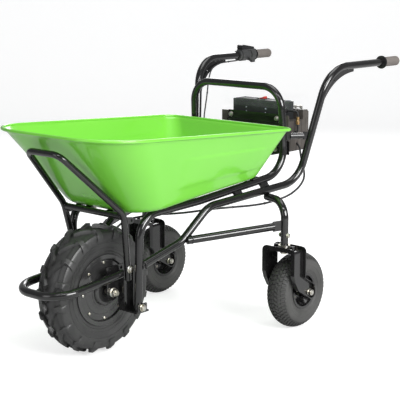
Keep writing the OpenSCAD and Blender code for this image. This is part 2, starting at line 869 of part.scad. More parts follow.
module rocker_switch() {
    color("#c8201c") translate([x0, 0, 0])
        translate([rocker_pivot.x, 0, rocker_pivot.z - 4]) {
            rotate([90, 0, 90])
                linear_extrude(17, center = true)
                    polygon([
                        [-11, 6.6],
                        [0, 8.6],
                        [9.5, 12.5],
                        [11.4, 4],
                        [7, -5],
                        [-7, -5],
                        [-11.4, 4],
                    ]);
            rotate([0, 90, 0])
                cylinder(h = 20, d = 3, center = true);
        }
}

cover_x1 = box_front - 13;
cover_x0 = box_back - 4;
cover_base = box_top + 0.8;
cover_half = half_box + 3;
cover_t = 3;
hinge_x = cover_x0 - 5;
hinge_z = cover_base + 3;

module clear_cover() {
    color("#dfe8ee", 0.35) translate([x0, 0, 0]) {
        difference() {
            translate([cover_x0, -cover_half, cover_base])
                cube([cover_x1 - cover_x0, 2 * cover_half, cover_h]);
            translate([cover_x0 + cover_t, -cover_half + cover_t, cover_base - 1])
                cube([cover_x1 - cover_x0 - 2 * cover_t, 2 * (cover_half - cover_t),
                    cover_h + 1 - cover_t]);
            translate([cover_x1 - 40, -cover_half - 1, cover_base - 1])
                cube([60, 2 * cover_half + 2, 6]);
        }
        // hinge knuckles
        for (y = [-97, 97]) translate([hinge_x, y, hinge_z]) rotate([90, 0, 0])
            difference() {
                union() {
                    cylinder(h = 14, r = 4.5, center = true);
                    translate([0, -3, -7]) cube([6, 7.5, 14]);
                }
                cylinder(h = 20, d = 4 + 2 * run, center = true);
            }
    }
}

module cover_hinge() {
    color(zinc) translate([x0, 0, 0]) for (y = [-97, 97])
        translate([hinge_x, y, hinge_z]) rotate([90, 0, 0]) {
            cylinder(h = 34, d = 4, center = true);
            for (s = [-1, 1]) translate([0, 0, s * 12.5])
                difference() {
                    union() {
                        cylinder(h = 8, r = 4.5, center = true);
                        translate([-4.5, -22, -4]) cube([4, 22, 8]);
                        translate([-4.5, -22, -4]) cube([box_back - hinge_x + 4.3, 4, 8]);
                    }
                    cylinder(h = 20, d = 3.9, center = true);
                }
        }
}

lead_x = box_front - 37;
lead_high = ledge_z + 32;
lead_low = ledge_z - 44;
lead_y = half_box + 12;

// The short lead between the control box and the battery
module battery_lead() {
    half = control_w / 2;
    color("#2a2a2c") translate([x0, 0, 0]) {
        bent_tube([
                [lead_x, half - 6, lead_high],
                [lead_x, lead_y, lead_high],
                [lead_x, lead_y, lead_low],
                [lead_x, half_box - 8, lead_low],
            ], [0, 9, 9, 0], 7);
        translate([lead_x, lead_y, lead_high - 30]) cylinder(h = 13, d = 11);
        translate([lead_x, lead_y, lead_high - 40]) cylinder(h = 10, d1 = 15, d2 = 9);
        translate([lead_x, lead_y, lead_high - 44]) cylinder(h = 4, d = 13);
        translate([lead_x, half_box + 0.2, lead_low]) rotate([-90, 0, 0])
            cylinder(h = 4, d = 16, $fn = 6);
        translate([lead_x, half_box - 6, lead_low]) rotate([-90, 0, 0])
            cylinder(h = 7, d = 12);
        translate([lead_x, half - 6, lead_high]) rotate([-90, 0, 0])
            cylinder(h = 7, d = 10);
        translate([lead_x, half + 0.2, lead_high]) rotate([-90, 0, 0])
            cylinder(h = 4, d = 14, $fn = 6);
    }
}

// ---- grips and throttle ----

flange_x = -grip_back + grip_len;

module grip(left) {
    color(grip_grey) translate([x0, 0, 0]) side(left)
        translate([-grip_back, grip_y, grip_z]) rotate([0, 90, 0])
            difference() {
                union() {
                    cylinder(h = grip_len, d = grip_d);
                    translate([0, 0, 4]) cylinder(h = 6, d = grip_d + 3);
                    translate([0, 0, grip_len - 4]) cylinder(h = 4, d = grip_d + 13);
                    translate([0, 0, grip_len - 14])
                        cylinder(h = 10, d1 = grip_d, d2 = grip_d + 6);
                }
                translate([0, 0, 7.5])
                    cylinder(h = grip_len, d = tube_d + 2 * seat);
            }
}

throttle_x = flange_x + 2;
throttle_r = 22;

module throttle_housing() {
    color(dark_plastic) translate([x0, -grip_y, grip_z]) difference() {
        union() {
            translate([throttle_x, 0, 0]) rotate([0, 90, 0])
                cylinder(h = 26, r = throttle_r);
            translate([throttle_x + 50, 0, 0]) rotate([0, 90, 0])
                cylinder(h = 28, r = throttle_r);
            translate([throttle_x + 78, 0, 0]) rotate([0, 90, 0])
                cylinder(h = 12, r = throttle_r - 3);
            // bridge over the lever
            translate([throttle_x, -13, 16]) cube([78, 26, 5.8]);
        }
        translate([throttle_x - 10, 0, 0]) rotate([0, 90, 0])
            cylinder(h = 120, d = tube_d + 2 * seat);
        translate([throttle_x + 26 - turn / 2, 0, 0]) rotate([0, 90, 0])
            cylinder(h = 24 + turn, r = lever_r + 0.5);
        translate([throttle_x - 10, -30, 21.8]) cube([120, 60, 20]);
    }
}

lever_r = 19;

module throttle_display() {
    color(black) translate([x0, -grip_y, grip_z]) rotate([90, 0, 0])
        linear_extrude(25, center = true)
            polygon([
                [throttle_x + 6, 22],
                [throttle_x + 74, 22],
                [throttle_x + 78, 26],
                [throttle_x + 76, 38],
                [throttle_x + 71, 40],
                [throttle_x + 8, 30],
                [throttle_x + 4, 27],
            ]);
}

module throttle_lever() {
    color(dark_plastic) translate([x0 + throttle_x + 38, -grip_y, grip_z]) rotate([0, 90, 0])
        difference() {
            union() {
                cylinder(h = 24 - turn, r = lever_r, center = true);
                // thumb tab, inboard and below
                rotate(56) translate([lever_r - 4, -5, -9]) cube([24, 10, 18]);
                rotate(56) translate([lever_r + 20, 0, 0]) cylinder(h = 18, r = 5, center = true);
            }
            cylinder(h = 40, d = tube_d + 2 * run, center = true);
        }
}

// ---- cables held along the frame ----

// A round cable of n sides swept along hand-picked points through a smooth curve
function curve(p, k) = concat(
    [for (i = [0:len(p) - 2], j = [0:k - 1])
        let (
            t = j / k,
            a = p[max(i - 1, 0)],
            b = p[i],
            c = p[i + 1],
            d = p[min(i + 2, len(p) - 1)]
        )
        0.5 * (2 * b + (c - a) * t + (2 * a - 5 * b + 4 * c - d) * t * t
            + (3 * b - a - 3 * c + d) * t * t * t)],
    [p[len(p) - 1]]
);

function lean(q, i) = unit(q[min(i + 1, len(q) - 1)] - q[max(i - 1, 0)]);

module cable(p, d, k, sides = 10) {
    q = curve(p, k);
    m = len(q);
    ref = [0.31, 0.37, 0.88];
    rings = [
        for (i = [0:m - 1])
            let (z = lean(q, i), x = unit(cross(ref, z)), y = cross(z, x))
            for (s = [0:sides - 1])
                q[i] + d / 2 * (x * cos(360 * s / sides) + y * sin(360 * s / sides))
    ];
    polyhedron(
        points = rings,
        faces = concat(
            [[for (s = [sides - 1:-1:0]) s]],
            [for (i = [0:m - 2], s = [0:sides - 1]) each [
                [i * sides + s, i * sides + (s + 1) % sides, (i + 1) * sides + s],
                [i * sides + (s + 1) % sides, (i + 1) * sides + (s + 1) % sides,
                    (i + 1) * sides + s],
            ]],
            [[for (s = [0:sides - 1]) (m - 1) * sides + s]]
        ),
        convexity = 10
    );
}

motor_exit = [box_front - 50, 0, box_floor + 23];
motor_route = [
    [-835, 148, 576],
    [-828, 166, 566],
    [-813, 186, 531],
    [-792, 216, 480],
    [-760, 226, 451],
    [-713, 224, 427],
    [-658, 216, 414],
    [-588, 206, 408],
    [-520, 196, 409],
    [-455, 180, 412],
    [-395, 140, 409],
    [-330, 75, 398],
    [-270, -20, 385],
    [-230, -96, 360],
    [-160, -116, 300],
    [-100, -121, 237],
    [-62, -121, 213],
    [-34, -121, 205],
    [-11, -119.5, 203],
    [-1.2, -114, 203],
    [0, -107, 203],
];

throttle_route = [
    [-1040, -292, 829],
    [-1025, -289, 828],
    [-975, -281, 828],
    [-915, -278, 824],
    [-868, -272, 806],
    [-838, -261, 768],
    [-818, -250, 725],
    [-803, -245, 680],
    [-790, -240, 640],
    [-782, -228, 606],
    [-800, -198, 590],
    [-818, -170, 588],
    [-826, -150.4, 592],
];

module motor_cable() {
    color("#1c1c1e") translate([x0, 0, 0]) cable(motor_route, 7, 4);
}

module throttle_cable() {
    color("#1c1c1e") translate([x0, 0, 0]) cable(throttle_route, 5, 4, 8);
}

// ---- drive wheel ----

drive_rim_r = drive_bead_d / 2;
rim_half = drive_rim_w / 2;
cover_y = rim_half - 8;
boss_y = rim_half + 14;
bearing_d = 42;
bearing_w = 12;
shell_in = hub_bolt_r - 6;

module spin() {
    translate([x0, 0, wheel_z]) rotate([-90, 0, 0]) children();
}

module drive_axle() {
    shoulder = bracket_in - 0.3;
    color(zinc) spin() {
        cylinder(h = 2 * shoulder, d = axle_d, center = true);
        cylinder(h = 2 * (bracket_out + 20), d = axle_end_d, center = true);
    }
}

module axle_nuts() {
    color(zinc) spin() for (s = [0, 1]) mirror([0, 0, s])
        translate([0, 0, bracket_out + 0.1]) difference() {
            union() {
                cylinder(h = 2.5, d = 30);
                cylinder(h = 13.5, r = 12.5, $fn = 6);
            }
            translate([0, 0, -1]) cylinder(h = 30, d = axle_end_d + 2 * seat);
        }
}

module motor_stator() {
    color("#9a5a32") spin() difference() {
        union() {
            cylinder(h = 34, r = shell_in - 4, center = true);
            cylinder(h = 56, r = 22, center = true);
        }
        cylinder(h = 80, d = axle_d + 2 * seat, center = true);
    }
}

function arc(c, r, a0, a1, n) = [for (i = [0:n]) c + r * [cos(a0 + (a1 - a0) * i / n), sin(a0 + (a1 - a0) * i / n)]];

module drive_tyre() {
    w = drive_tyre_w / 2;
    b = rim_half - 0.4;
    r0 = drive_rim_r + 0.1;
    color(tyre_black) spin() rotate_extrude($fn = 120) difference() {
        polygon(concat(
            [[r0, b - 13], [r0, b], [r0 + drive_flange_h + 1, b]],
            arc([wheel_z - 34, w - 30], 30, 105, 52, 5),
            arc([wheel_z - 62, 0], 62, 33, -33, 8),
            arc([wheel_z - 34, -w + 30], 30, -52, -105, 5),
            [[r0 + drive_flange_h + 1, -b], [r0, -b], [r0, -b + 13]]
        ));
        // air space
        polygon(concat(
            [[r0 - 5, b - 13], [r0 + 12, b - 11]],
            arc([wheel_z - 48, w - 34], 20, 100, 40, 4),
            arc([wheel_z - 48, -w + 34], 20, -40, -100, 4),
            [[r0 + 12, -b + 11], [r0 - 5, -b + 13]]
        ));
    }
}

module hub_shell() {
    f = drive_rim_r + drive_flange_h;
    color(black) spin() difference() {
        rotate_extrude($fn = 120) polygon([
            [shell_in, -cover_y],
            [drive_rim_r - 3, -cover_y],
            [drive_rim_r - 3, -rim_half - 3],
            [f, -rim_half - 3],
            [f, -rim_half],
            [drive_rim_r, -rim_half],
            [drive_rim_r, rim_half],
            [f, rim_half],
            [f, rim_half + 3],
            [drive_rim_r - 3, rim_half + 3],
            [drive_rim_r - 3, cover_y],
            [shell_in, cover_y],
        ]);
        for (i = [0:hub_bolt_n - 1])
            rotate(360 * i / hub_bolt_n) translate([hub_bolt_r, 0])
                cylinder(h = 200, d = 5 + 2 * seat, center = true);
    }
}

module hub_covers() {
    r1 = drive_rim_r - 3.2;
    seat_r = bearing_d / 2;
    color(black) spin() for (s = [0, 1]) mirror([0, 0, s]) difference() {
        rotate_extrude($fn = 120) polygon(concat(
            [
                [axle_d / 2 + 3, boss_y],
                [axle_d / 2 + 3, boss_y - 4],
                [seat_r + seat, boss_y - 4],
                [seat_r + seat, cover_y - 8],
                [seat_r + 6, cover_y - 8],
                [50, cover_y + 0.1],
                [r1, cover_y + 0.1],
                [r1, cover_y + 5],
                [r1 - 5, cover_y + 6.5],
                [62, cover_y + 9],
                [48, cover_y + 12],
            ],
            arc([36, boss_y - 10], 10, 0, 90, 4)
        ));
        for (i = [0:hub_bolt_n - 1])
            rotate(360 * i / hub_bolt_n) translate([hub_bolt_r, 0])
                cylinder(h = 200, d = 5 + 2 * seat, center = true);
    }
}

module hub_bolts() {
    color(zinc) spin() for (s = [0, 1], i = [0:hub_bolt_n - 1]) mirror([0, 0, s])
        rotate(360 * i / hub_bolt_n) translate([hub_bolt_r, 0, cover_y + 7.6]) {
            cylinder(h = 3, d = 10);
            translate([0, 0, -24]) cylinder(h = 24.5, d = 5);
        }
}

module hub_bearings() {
    color("#b9bcc0") spin() for (s = [0, 1]) mirror([0, 0, s])
        translate([0, 0, boss_y - 4.2 - bearing_w]) difference() {
            cylinder(h = bearing_w, d = bearing_d);
            translate([0, 0, -1]) cylinder(h = bearing_w + 2, d = axle_d + 2 * run);
        }
}

// ---- casters ----

kingpin_d = 16;
fork_inner = caster_tyre_w / 2 + caster_side_gap;
fork_outer = fork_inner + fork_t;
crown_z = caster_tyre_d + 18;
crown_top = crown_z + fork_t;

module at_stem(left) {
    translate([x0 - stem_back, left ? stem_y : -stem_y, 0]) children();
}

module at_caster_axle(left) {
    translate([x0 - stem_back - caster_trail, left ? stem_y : -stem_y, caster_z])
        rotate([-90, 0, 0]) children();
}

// Side outline of a fork leg, drawn from its own stem, inset by e
function fork_outline(e) = concat(
    [
        [fork_w / 2 - e, crown_top + 60],
        [fork_w / 2 - e, crown_top - 76],
        [fork_w / 2 - 8 - e, crown_top - 100],
        [fork_w / 2 - 26 - e, crown_top - 130],
    ],
    arc([-caster_trail, caster_z], 21 - e, -40, -190, 9),
    [
        [-caster_trail - 17 + e, caster_z + 24],
        [-fork_w / 2 + e, crown_top - 92],
        [-fork_w / 2 + e, crown_top + 60],
    ]
);

// Rounded, upside-down U across the fork: half width w, top z, corner radius r
module fork_arch(w, top, r) {
    polygon(concat(
        [[-w, 60], [-w, top - r]],
        arc([-w + r, top - r], r, 180, 90, 6),
        arc([w - r, top - r], r, 90, 0, 6),
        [[w, 60]]
    ));
}

module fork_leg_cut(e) {
    rotate([90, 0, 0])
        linear_extrude(300, center = true)
            polygon(fork_outline(e));
}

module across() {
    rotate([90, 0, 90])
        linear_extrude(fork_w + 120, center = true)
            children();
}

module caster_fork(left) {
    color(black) at_stem(left) difference() {
        union() {
            // web
            intersection() {
                translate([-20, 0, 0]) across() difference() {
                    fork_arch(fork_outer, crown_top, 9);
                    fork_arch(fork_inner, crown_z, 6);
                }
                fork_leg_cut(0);
            }
            // turned-out flanges
            intersection() {
                translate([-20, 0, 0]) across() difference() {
                    fork_arch(fork_outer + fork_flange, crown_top + fork_flange, 18);
                    fork_arch(fork_outer - 1, crown_top - 1, 8);
                }
                difference() {
                    fork_leg_cut(0);
                    fork_leg_cut(fork_t);
                }
            }
            // stop studs on the crown
            for (s = [-1, 1]) translate([0, 33 * s, crown_top - 1]) cylinder(h = 14, d = 16);
        }
        cylinder(h = 600, d = kingpin_d + 2 * run);
        translate([-caster_trail, 0, caster_z]) rotate([90, 0, 0])
            cylinder(h = 400, d = caster_axle_d + 2 * seat, center = true);
    }
}

module kingpin(left) {
    nut_z = crown_z - 1;
    color(zinc) at_stem(left) {
        translate([0, 0, nut_z - 10]) cylinder(h = stem_end + 42 - nut_z + 10, d = kingpin_d);
        translate([0, 0, nut_z - 10]) cylinder(h = 9.4, r = 13, $fn = 6);
        translate([0, 0, crown_top + 0.5]) cylinder(h = stem_end - crown_top - 0.7, r = 17);
        translate([0, 0, stem_end - 7]) cylinder(h = 6.8, r = 20);
    }
}

module caster_tyre(left) {
    w = caster_tyre_w / 2;
    r0 = caster_bead_d / 2 + 0.1;
    b = w - 10;
    color(tyre_black) at_caster_axle(left) rotate_extrude($fn = 96) difference() {
        polygon(concat(
            [[r0, b - 9], [r0, b], [r0 + 5.2, b], [r0 + 7, b + 0.6]],
            arc([caster_z - 36, w - 30], 30, 120, 40, 6),
            arc([caster_z - 44, 0], 44, 30, -30, 6),
            arc([caster_z - 36, -w + 30], 30, -40, -120, 6),
            [[r0 + 7, -b - 0.6], [r0 + 5.2, -b], [r0, -b], [r0, -b + 9]]
        ));
        polygon(concat(
            [[r0 - 5, b - 9], [r0 + 10, b - 6]],
            arc([caster_z - 38, w - 28], 17, 100, 40, 4),
            arc([caster_z - 38, -w + 28], 17, -40, -100, 4),
            [[r0 + 10, -b + 6], [r0 - 5, -b + 9]]
        ));
    }
}

caster_bearing_d = 32;
caster_hub_half = fork_inner - 4;

module caster_rim(left) {
    rb = caster_bead_d / 2;
    b = caster_tyre_w / 2 - 9.9;
    hub_r = caster_bearing_d / 2 + 4;
    color(black) at_caster_axle(left) difference() {
        rotate_extrude($fn = 96) polygon([
            [caster_bearing_d / 2 + seat, -caster_hub_half],
            [hub_r, -caster_hub_half],
            [hub_r, -10],
            [rb - 14, -8],
            [rb - 4, -b + 6],
            [rb - 3, -b - 3],
            [rb + 5, -b - 3],
            [rb + 5, -b],
            [rb, -b],
            [rb, b],
            [rb + 5, b],
            [rb + 5, b + 3],
            [rb - 3, b + 3],
            [rb - 4, b - 6],
            [rb - 14, 8],
            [hub_r, 10],
            [hub_r, caster_hub_half],
            [caster_bearing_d / 2 + seat, caster_hub_half],
        ]);
        for (a = [45:90:315]) rotate(a) translate([rim_bolt_r, 0])
            cylinder(h = 100, d = 6, center = true);
    }
    // bolts that clamp the two rim halves
    color(zinc) at_caster_axle(left) for (a = [45:90:315]) rotate(a) translate([rim_bolt_r, 0]) {
        cylinder(h = 19, d = 6, center = true);
        for (s = [0, 1]) mirror([0, 0, s])
            translate([0, 0, 8.6]) cylinder(h = 5, r = 5.5, $fn = 6);
    }
}

rim_bolt_r = 33;

module caster_axle(left) {
    out = fork_outer;
    color(zinc) at_caster_axle(left) {
        cylinder(h = 2 * (out + 16), d = caster_axle_d, center = true);
        for (s = [0, 1]) mirror([0, 0, s]) {
            translate([0, 0, out + 0.2]) cylinder(h = 2, d = 24);
            translate([0, 0, out + 2.2]) cylinder(h = 10, r = 10.5, $fn = 6);
            translate([0, 0, caster_hub_half + 0.3])
                cylinder(h = fork_inner - caster_hub_half - 0.6, d = 19);
        }
    }
}

module caster_bearings(left) {
    color("#b9bcc0") at_caster_axle(left) for (s = [0, 1]) mirror([0, 0, s])
        translate([0, 0, caster_hub_half - 11]) difference() {
            cylinder(h = 10, d = caster_bearing_d);
            translate([0, 0, -1]) cylinder(h = 12, d = caster_axle_d + 2 * run);
        }
}

main_hoop();
handle(true);  // handle_left
handle(false);  // handle_right
grip(true);  // grip_left
grip(false);  // grip_right
tray();
front_prop();
front_bumper();
cross_tube();
caster_leg(true);  // caster_leg_left
caster_leg(false);  // caster_leg_right
leg_brace(true);  // leg_brace_left
leg_brace(false);  // leg_brace_right
side_tie(true);  // side_tie_left
side_tie(false);  // side_tie_right
fork_bracket(true);  // fork_bracket_left
fork_bracket(false);  // fork_bracket_right
handle_gusset(true);  // handle_gusset_left
handle_gusset(false);  // handle_gusset_right
rail_clamps();
tray_saddles();
tray_bolts();
frame_bolts();
box_crossbar();
box_strap();
box_bolts();
battery_box();
battery_pack();
control_box();
control_board();
switch_bezel();
rocker_switch();
clear_cover();
cover_hinge();
battery_lead();
throttle_housing();
throttle_display();
throttle_lever();
motor_cable();
throttle_cable();
drive_axle();
axle_nuts();
motor_stator();
drive_tyre();
hub_shell();
hub_covers();
hub_bolts();
hub_bearings();
caster_fork(true);  // caster_fork_left
caster_fork(false);  // caster_fork_right
kingpin(true);  // kingpin_left
kingpin(false);  // kingpin_right
caster_tyre(true);  // caster_tyre_left
caster_tyre(false);  // caster_tyre_right
caster_rim(true);  // caster_rim_left
caster_rim(false);  // caster_rim_right
caster_axle(true);  // caster_axle_left
caster_axle(false);  // caster_axle_right
caster_bearings(true);  // caster_bearings_left
caster_bearings(false);  // caster_bearings_right
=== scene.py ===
"""A battery-powered wheelbarrow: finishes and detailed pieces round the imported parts."""
import json
import math

import bmesh
import bpy
from mathutils import Matrix, Vector


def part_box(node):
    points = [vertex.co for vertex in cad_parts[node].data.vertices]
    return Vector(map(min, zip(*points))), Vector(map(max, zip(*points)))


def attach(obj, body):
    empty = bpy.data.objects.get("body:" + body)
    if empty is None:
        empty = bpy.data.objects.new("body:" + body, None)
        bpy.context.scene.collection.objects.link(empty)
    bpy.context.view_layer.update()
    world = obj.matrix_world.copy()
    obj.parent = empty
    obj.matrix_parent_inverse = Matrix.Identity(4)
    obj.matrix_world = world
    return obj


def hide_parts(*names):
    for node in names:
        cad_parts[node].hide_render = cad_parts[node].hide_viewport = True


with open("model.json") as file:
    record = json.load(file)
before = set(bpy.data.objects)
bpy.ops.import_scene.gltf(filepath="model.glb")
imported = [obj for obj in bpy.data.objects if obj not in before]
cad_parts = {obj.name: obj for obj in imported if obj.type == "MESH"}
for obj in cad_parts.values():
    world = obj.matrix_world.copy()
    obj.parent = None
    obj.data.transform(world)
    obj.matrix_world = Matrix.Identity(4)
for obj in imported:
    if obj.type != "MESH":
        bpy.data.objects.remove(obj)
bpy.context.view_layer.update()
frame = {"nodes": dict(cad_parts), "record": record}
NODES = frame["nodes"]


def middle(node):
    low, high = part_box(node)
    return (low + high) / 2


HUB = middle("drive_tyre")
SIDES = (("left", 1), ("right", -1))


def at(x, y, z):
    """A point in metres from millimetres measured from below the drive axle."""
    return Vector((x / 1000 + HUB.x, y / 1000, z / 1000))


# ---- shader maths ----


class Value:
    """A number or colour on its way through a material. Sums on it add Math nodes."""

    def __init__(self, finish, socket):
        self.finish, self.socket = finish, socket

    def _math(self, operation, a, b=None, clamp=False):
        ins = {0: a} if b is None else {0: a, 1: b}
        return self.finish.node("Math", {"operation": operation, "use_clamp": clamp}, ins)

    def __add__(self, other):
        return self._math("ADD", self, other)

    def __sub__(self, other):
        return self._math("SUBTRACT", self, other)

    def __rsub__(self, other):
        return self._math("SUBTRACT", other, self)

    def __mul__(self, other):
        return self._math("MULTIPLY", self, other)

    def __truediv__(self, other):
        return self._math("DIVIDE", self, other)

    def __rtruediv__(self, other):
        return self._math("DIVIDE", other, self)

    def __pow__(self, other):
        return self._math("POWER", self, other)

    __radd__ = __add__
    __rmul__ = __mul__

    def above(self, edge, soft):
        """0 below edge, 1 above it, changing over the width soft."""
        return self._math("MULTIPLY", self - (edge - soft / 2), 1 / soft, clamp=True)


class Finish:
    """One material. The Principled shader's constants are set as it is made."""

    def __init__(self, name, **constants):
        self.material = bpy.data.materials.new(name)
        self.material.use_nodes = True
        self.tree = self.material.node_tree
        self.tree.nodes.clear()
        out = self.tree.nodes.new("ShaderNodeOutputMaterial")
        self.shader = self.tree.nodes.new("ShaderNodeBsdfPrincipled")
        self.tree.links.new(self.shader.outputs[0], out.inputs[0])
        for key, value in constants.items():
            self.put(self.shader.inputs[key.replace("_", " ")], value)
        self.place = self.node("TexCoord", output="Object")

    def put(self, socket, value):
        if isinstance(value, Value):
            self.tree.links.new(value.socket, socket)
        elif isinstance(value, (tuple, list)) and len(value) == 3 and socket.type == "RGBA":
            socket.default_value = (*value, 1)
        else:
            socket.default_value = value

    def node(self, kind, settings=None, ins=None, output=0):
        """Adds a node: first its settings, then its inputs, and gives one of its outputs."""
        made = self.tree.nodes.new("ShaderNode" + kind)
        for key, value in (settings or {}).items():
            if key == "stops":
                ramp = made.color_ramp.elements
                while len(ramp) < len(value):
                    ramp.new(0.5)
                for stop, (position, colour) in zip(ramp, value):
                    stop.position, stop.color = position, (*colour, 1)
            else:
                setattr(made, key, value)
        for key, value in (ins or {}).items():
            self.put(made.inputs[key], value)
        return Value(self, made.outputs[output])

    def noise(self, scale, detail=3, rough=0.55, stretch=None, output=0):
        place = self.place
        if stretch:
            place = self.node("Mapping", {}, {"Vector": place, "Scale": stretch})
        return self.node(
            "TexNoise", {}, {"Vector": place, "Scale": scale, "Detail": detail, "Roughness": rough},
            output,
        )

    def mix(self, low, high, share):
        """The colour low turning into high as share goes from 0 to 1."""
        return self.node("Mix", {"data_type": "RGBA"}, {0: share, 6: low, 7: high}, 2)

    def bump(self, height, strength, distance=0.001):
        normal = self.node(
            "Bump", {}, {"Height": height, "Strength": strength, "Distance": distance}
        )
        self.put(self.shader.inputs["Normal"], normal)

    def set(self, name, value):
        self.put(self.shader.inputs[name], value)


def powder_coat(name, colour, dust, rough=0.17, grain=900):
    """Black powder coat: fine orange peel, a film of dust that thickens in patches."""
    f = Finish(name, Specular_IOR_Level=0.5, Coat_Weight=0.35, Coat_Roughness=0.04)
    patches = f.noise(7, 5, 0.6)
    fine = f.noise(90, 4, 0.6)
    film = (patches - 0.42) * 1.6 * fine
    f.set("Base Color", f.mix(colour, dust, film.above(0.16, 0.6) * 0.3))
    f.set("Roughness", fine * 0.06 + patches * 0.08 + (rough - 0.07))
    f.bump(f.noise(grain, 2, 0.5), 0.03, 0.0003)
    return f.material


def tray_paint():
    """Bright green gloss paint: slow clouds of a lighter shade and a slight waviness."""
    f = Finish("tray_green_paint", Specular_IOR_Level=0.5, Coat_Weight=0.6, Coat_Roughness=0.06)
    broad = f.noise(3.2, 3, 0.5)
    f.set("Base Color", f.mix((0.135, 0.5, 0.032), (0.18, 0.57, 0.05), broad))
    f.set("Roughness", broad * 0.08 + 0.25)
    f.bump(broad, 0.13, 0.002)
    return f.material


def tyre_rubber(name, dark, pale, rough, grain=700):
    """Moulded rubber: bloom in soft patches and a fine dry grain."""
    f = Finish(name, Specular_IOR_Level=0.5)
    bloom = f.noise(11, 5, 0.62)
    fine = f.noise(150, 3, 0.6)
    f.set("Base Color", f.mix(dark, pale, bloom.above(0.52, 0.5) * 0.7 + fine * 0.3))
    f.set("Roughness", fine * 0.16 + (rough - 0.08))
    f.bump(f.noise(grain, 3, 0.6) + bloom * 0.6, 0.18, 0.0006)
    return f.material


def bright_zinc(name="zinc_plate", tint=(0.66, 0.61, 0.49)):
    """Passivated zinc: a warm and a cool tone in clouds, with brushed streaks."""
    f = Finish(name, Metallic=1.0)
    cloud = f.noise(55, 4, 0.6)
    brushed = f.noise(260, 2, 0.5, stretch=(1, 1, 6))
    cool = tuple(c * k for c, k in zip(tint, (0.86, 0.93, 1.12)))
    f.set("Base Color", f.mix(tint, cool, cloud.above(0.5, 0.3)))
    f.set("Roughness", brushed * 0.2 + cloud * 0.12 + 0.16)
    f.bump(brushed, 0.12, 0.0003)
    return f.material


def moulded_plastic(name, colour, pale, rough=0.5, grain=620, depth=0.25):
    """Moulded plastic with a sparked texture and handling marks."""
    f = Finish(name, Specular_IOR_Level=0.45)
    marks = f.noise(24, 6, 0.65)
    sparked = f.noise(grain, 2, 0.5)
    f.set("Base Color", f.mix(colour, pale, marks.above(0.58, 0.35) * 0.6))
    f.set("Roughness", marks * 0.16 + sparked * 0.1 + (rough - 0.12))
    f.bump(sparked, depth, 0.0004)
    return f.material


def clear_plastic():
    """Thin clear hood: faint blue edge and light scuffs."""
    f = Finish("clear_hood", Specular_IOR_Level=0.5, IOR=1.45, Alpha=0.05)
    scuff = f.noise(40, 5, 0.7, stretch=(1, 3, 1))
    f.set("Base Color", f.mix((0.86, 0.9, 0.93), (0.95, 0.97, 1.0), scuff))
    f.set("Roughness", scuff.above(0.6, 0.3) * 0.15 + 0.05)
    f.set("Alpha", scuff.above(0.62, 0.3) * 0.03 + 0.015)
    return f.material


def ribbed_sheath(name, colour):
    """Extruded cable sheath, slightly waxy."""
    f = Finish(name, Specular_IOR_Level=0.5)
    wax = f.noise(130, 4, 0.6)
    f.set("Base Color", f.mix(colour, tuple(c * 1.9 for c in colour), wax.above(0.55, 0.3)))
    f.set("Roughness", wax * 0.2 + 0.32)
    f.bump(wax, 0.1, 0.0003)
    return f.material


FRAME_BLACK = powder_coat("frame_black_coat", (0.005, 0.005, 0.0055), (0.032, 0.03, 0.028))
HUB_BLACK = powder_coat("hub_black_coat", (0.022, 0.022, 0.0225), (0.075, 0.073, 0.07), 0.2)
TRAY_GREEN = tray_paint()
DRIVE_RUBBER = tyre_rubber("drive_rubber", (0.021, 0.021, 0.0215), (0.046, 0.046, 0.045), 0.4)
CASTER_RUBBER = tyre_rubber("caster_rubber", (0.033, 0.033, 0.032), (0.078, 0.077, 0.074), 0.56)
ZINC = bright_zinc()
STEEL = bright_zinc("bearing_steel", (0.5, 0.51, 0.53))
COPPER = bright_zinc("winding_copper", (0.62, 0.27, 0.12))
BRASS = bright_zinc("gland_brass", (0.6, 0.37, 0.16))
TREAD_RUBBER = tyre_rubber("caster_tread_rubber", (0.021, 0.021, 0.021), (0.05, 0.05, 0.048), 0.5)
GRIP_RUBBER = tyre_rubber("grip_rubber", (0.085, 0.074, 0.067), (0.2, 0.18, 0.165), 0.55, 900)
BATTERY_PLASTIC = moulded_plastic("battery_box_plastic", (0.058, 0.051, 0.045), (0.115, 0.103, 0.092))
CONTROL_PLASTIC = moulded_plastic("control_box_plastic", (0.018, 0.02, 0.021), (0.05, 0.053, 0.054))
THROTTLE_PLASTIC = moulded_plastic("throttle_plastic", (0.03, 0.031, 0.032), (0.085, 0.083, 0.08), 0.45)
GLOSS_BLACK = moulded_plastic("gloss_black_plastic", (0.01, 0.01, 0.011), (0.03, 0.03, 0.03), 0.22, 900, 0.04)
SWITCH_RED = moulded_plastic("switch_red_plastic", (0.46, 0.018, 0.012), (0.6, 0.05, 0.03), 0.3, 900, 0.05)
CELL_WRAP = moulded_plastic("cell_wrap", (0.02, 0.08, 0.19), (0.05, 0.14, 0.28), 0.35, 500, 0.08)
BOARD_GREEN = moulded_plastic("board_green", (0.012, 0.1, 0.035), (0.03, 0.17, 0.06), 0.35, 300, 0.1)
CLEAR = clear_plastic()
SHEATH = ribbed_sheath("cable_sheath", (0.012, 0.012, 0.013))

# ---- making meshes ----


def finished(name, mesh_or_bm, material, body, smooth=40):
    """An object from a mesh or bmesh: its material, shading and body."""
    if isinstance(mesh_or_bm, bmesh.types.BMesh):
        mesh = bpy.data.meshes.new(name)
        mesh_or_bm.to_mesh(mesh)
        mesh_or_bm.free()
    else:
        mesh = mesh_or_bm
        mesh.name = name
    mesh.materials.clear()
    mesh.materials.append(material)
    for face in mesh.polygons:
        face.material_index = 0
    if smooth:
        mesh.shade_smooth()
        mesh.set_sharp_from_angle(angle=math.radians(smooth))
    piece = bpy.data.objects.new(name, mesh)
    bpy.context.scene.collection.objects.link(piece)
    if body:
        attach(piece, body)
    return piece


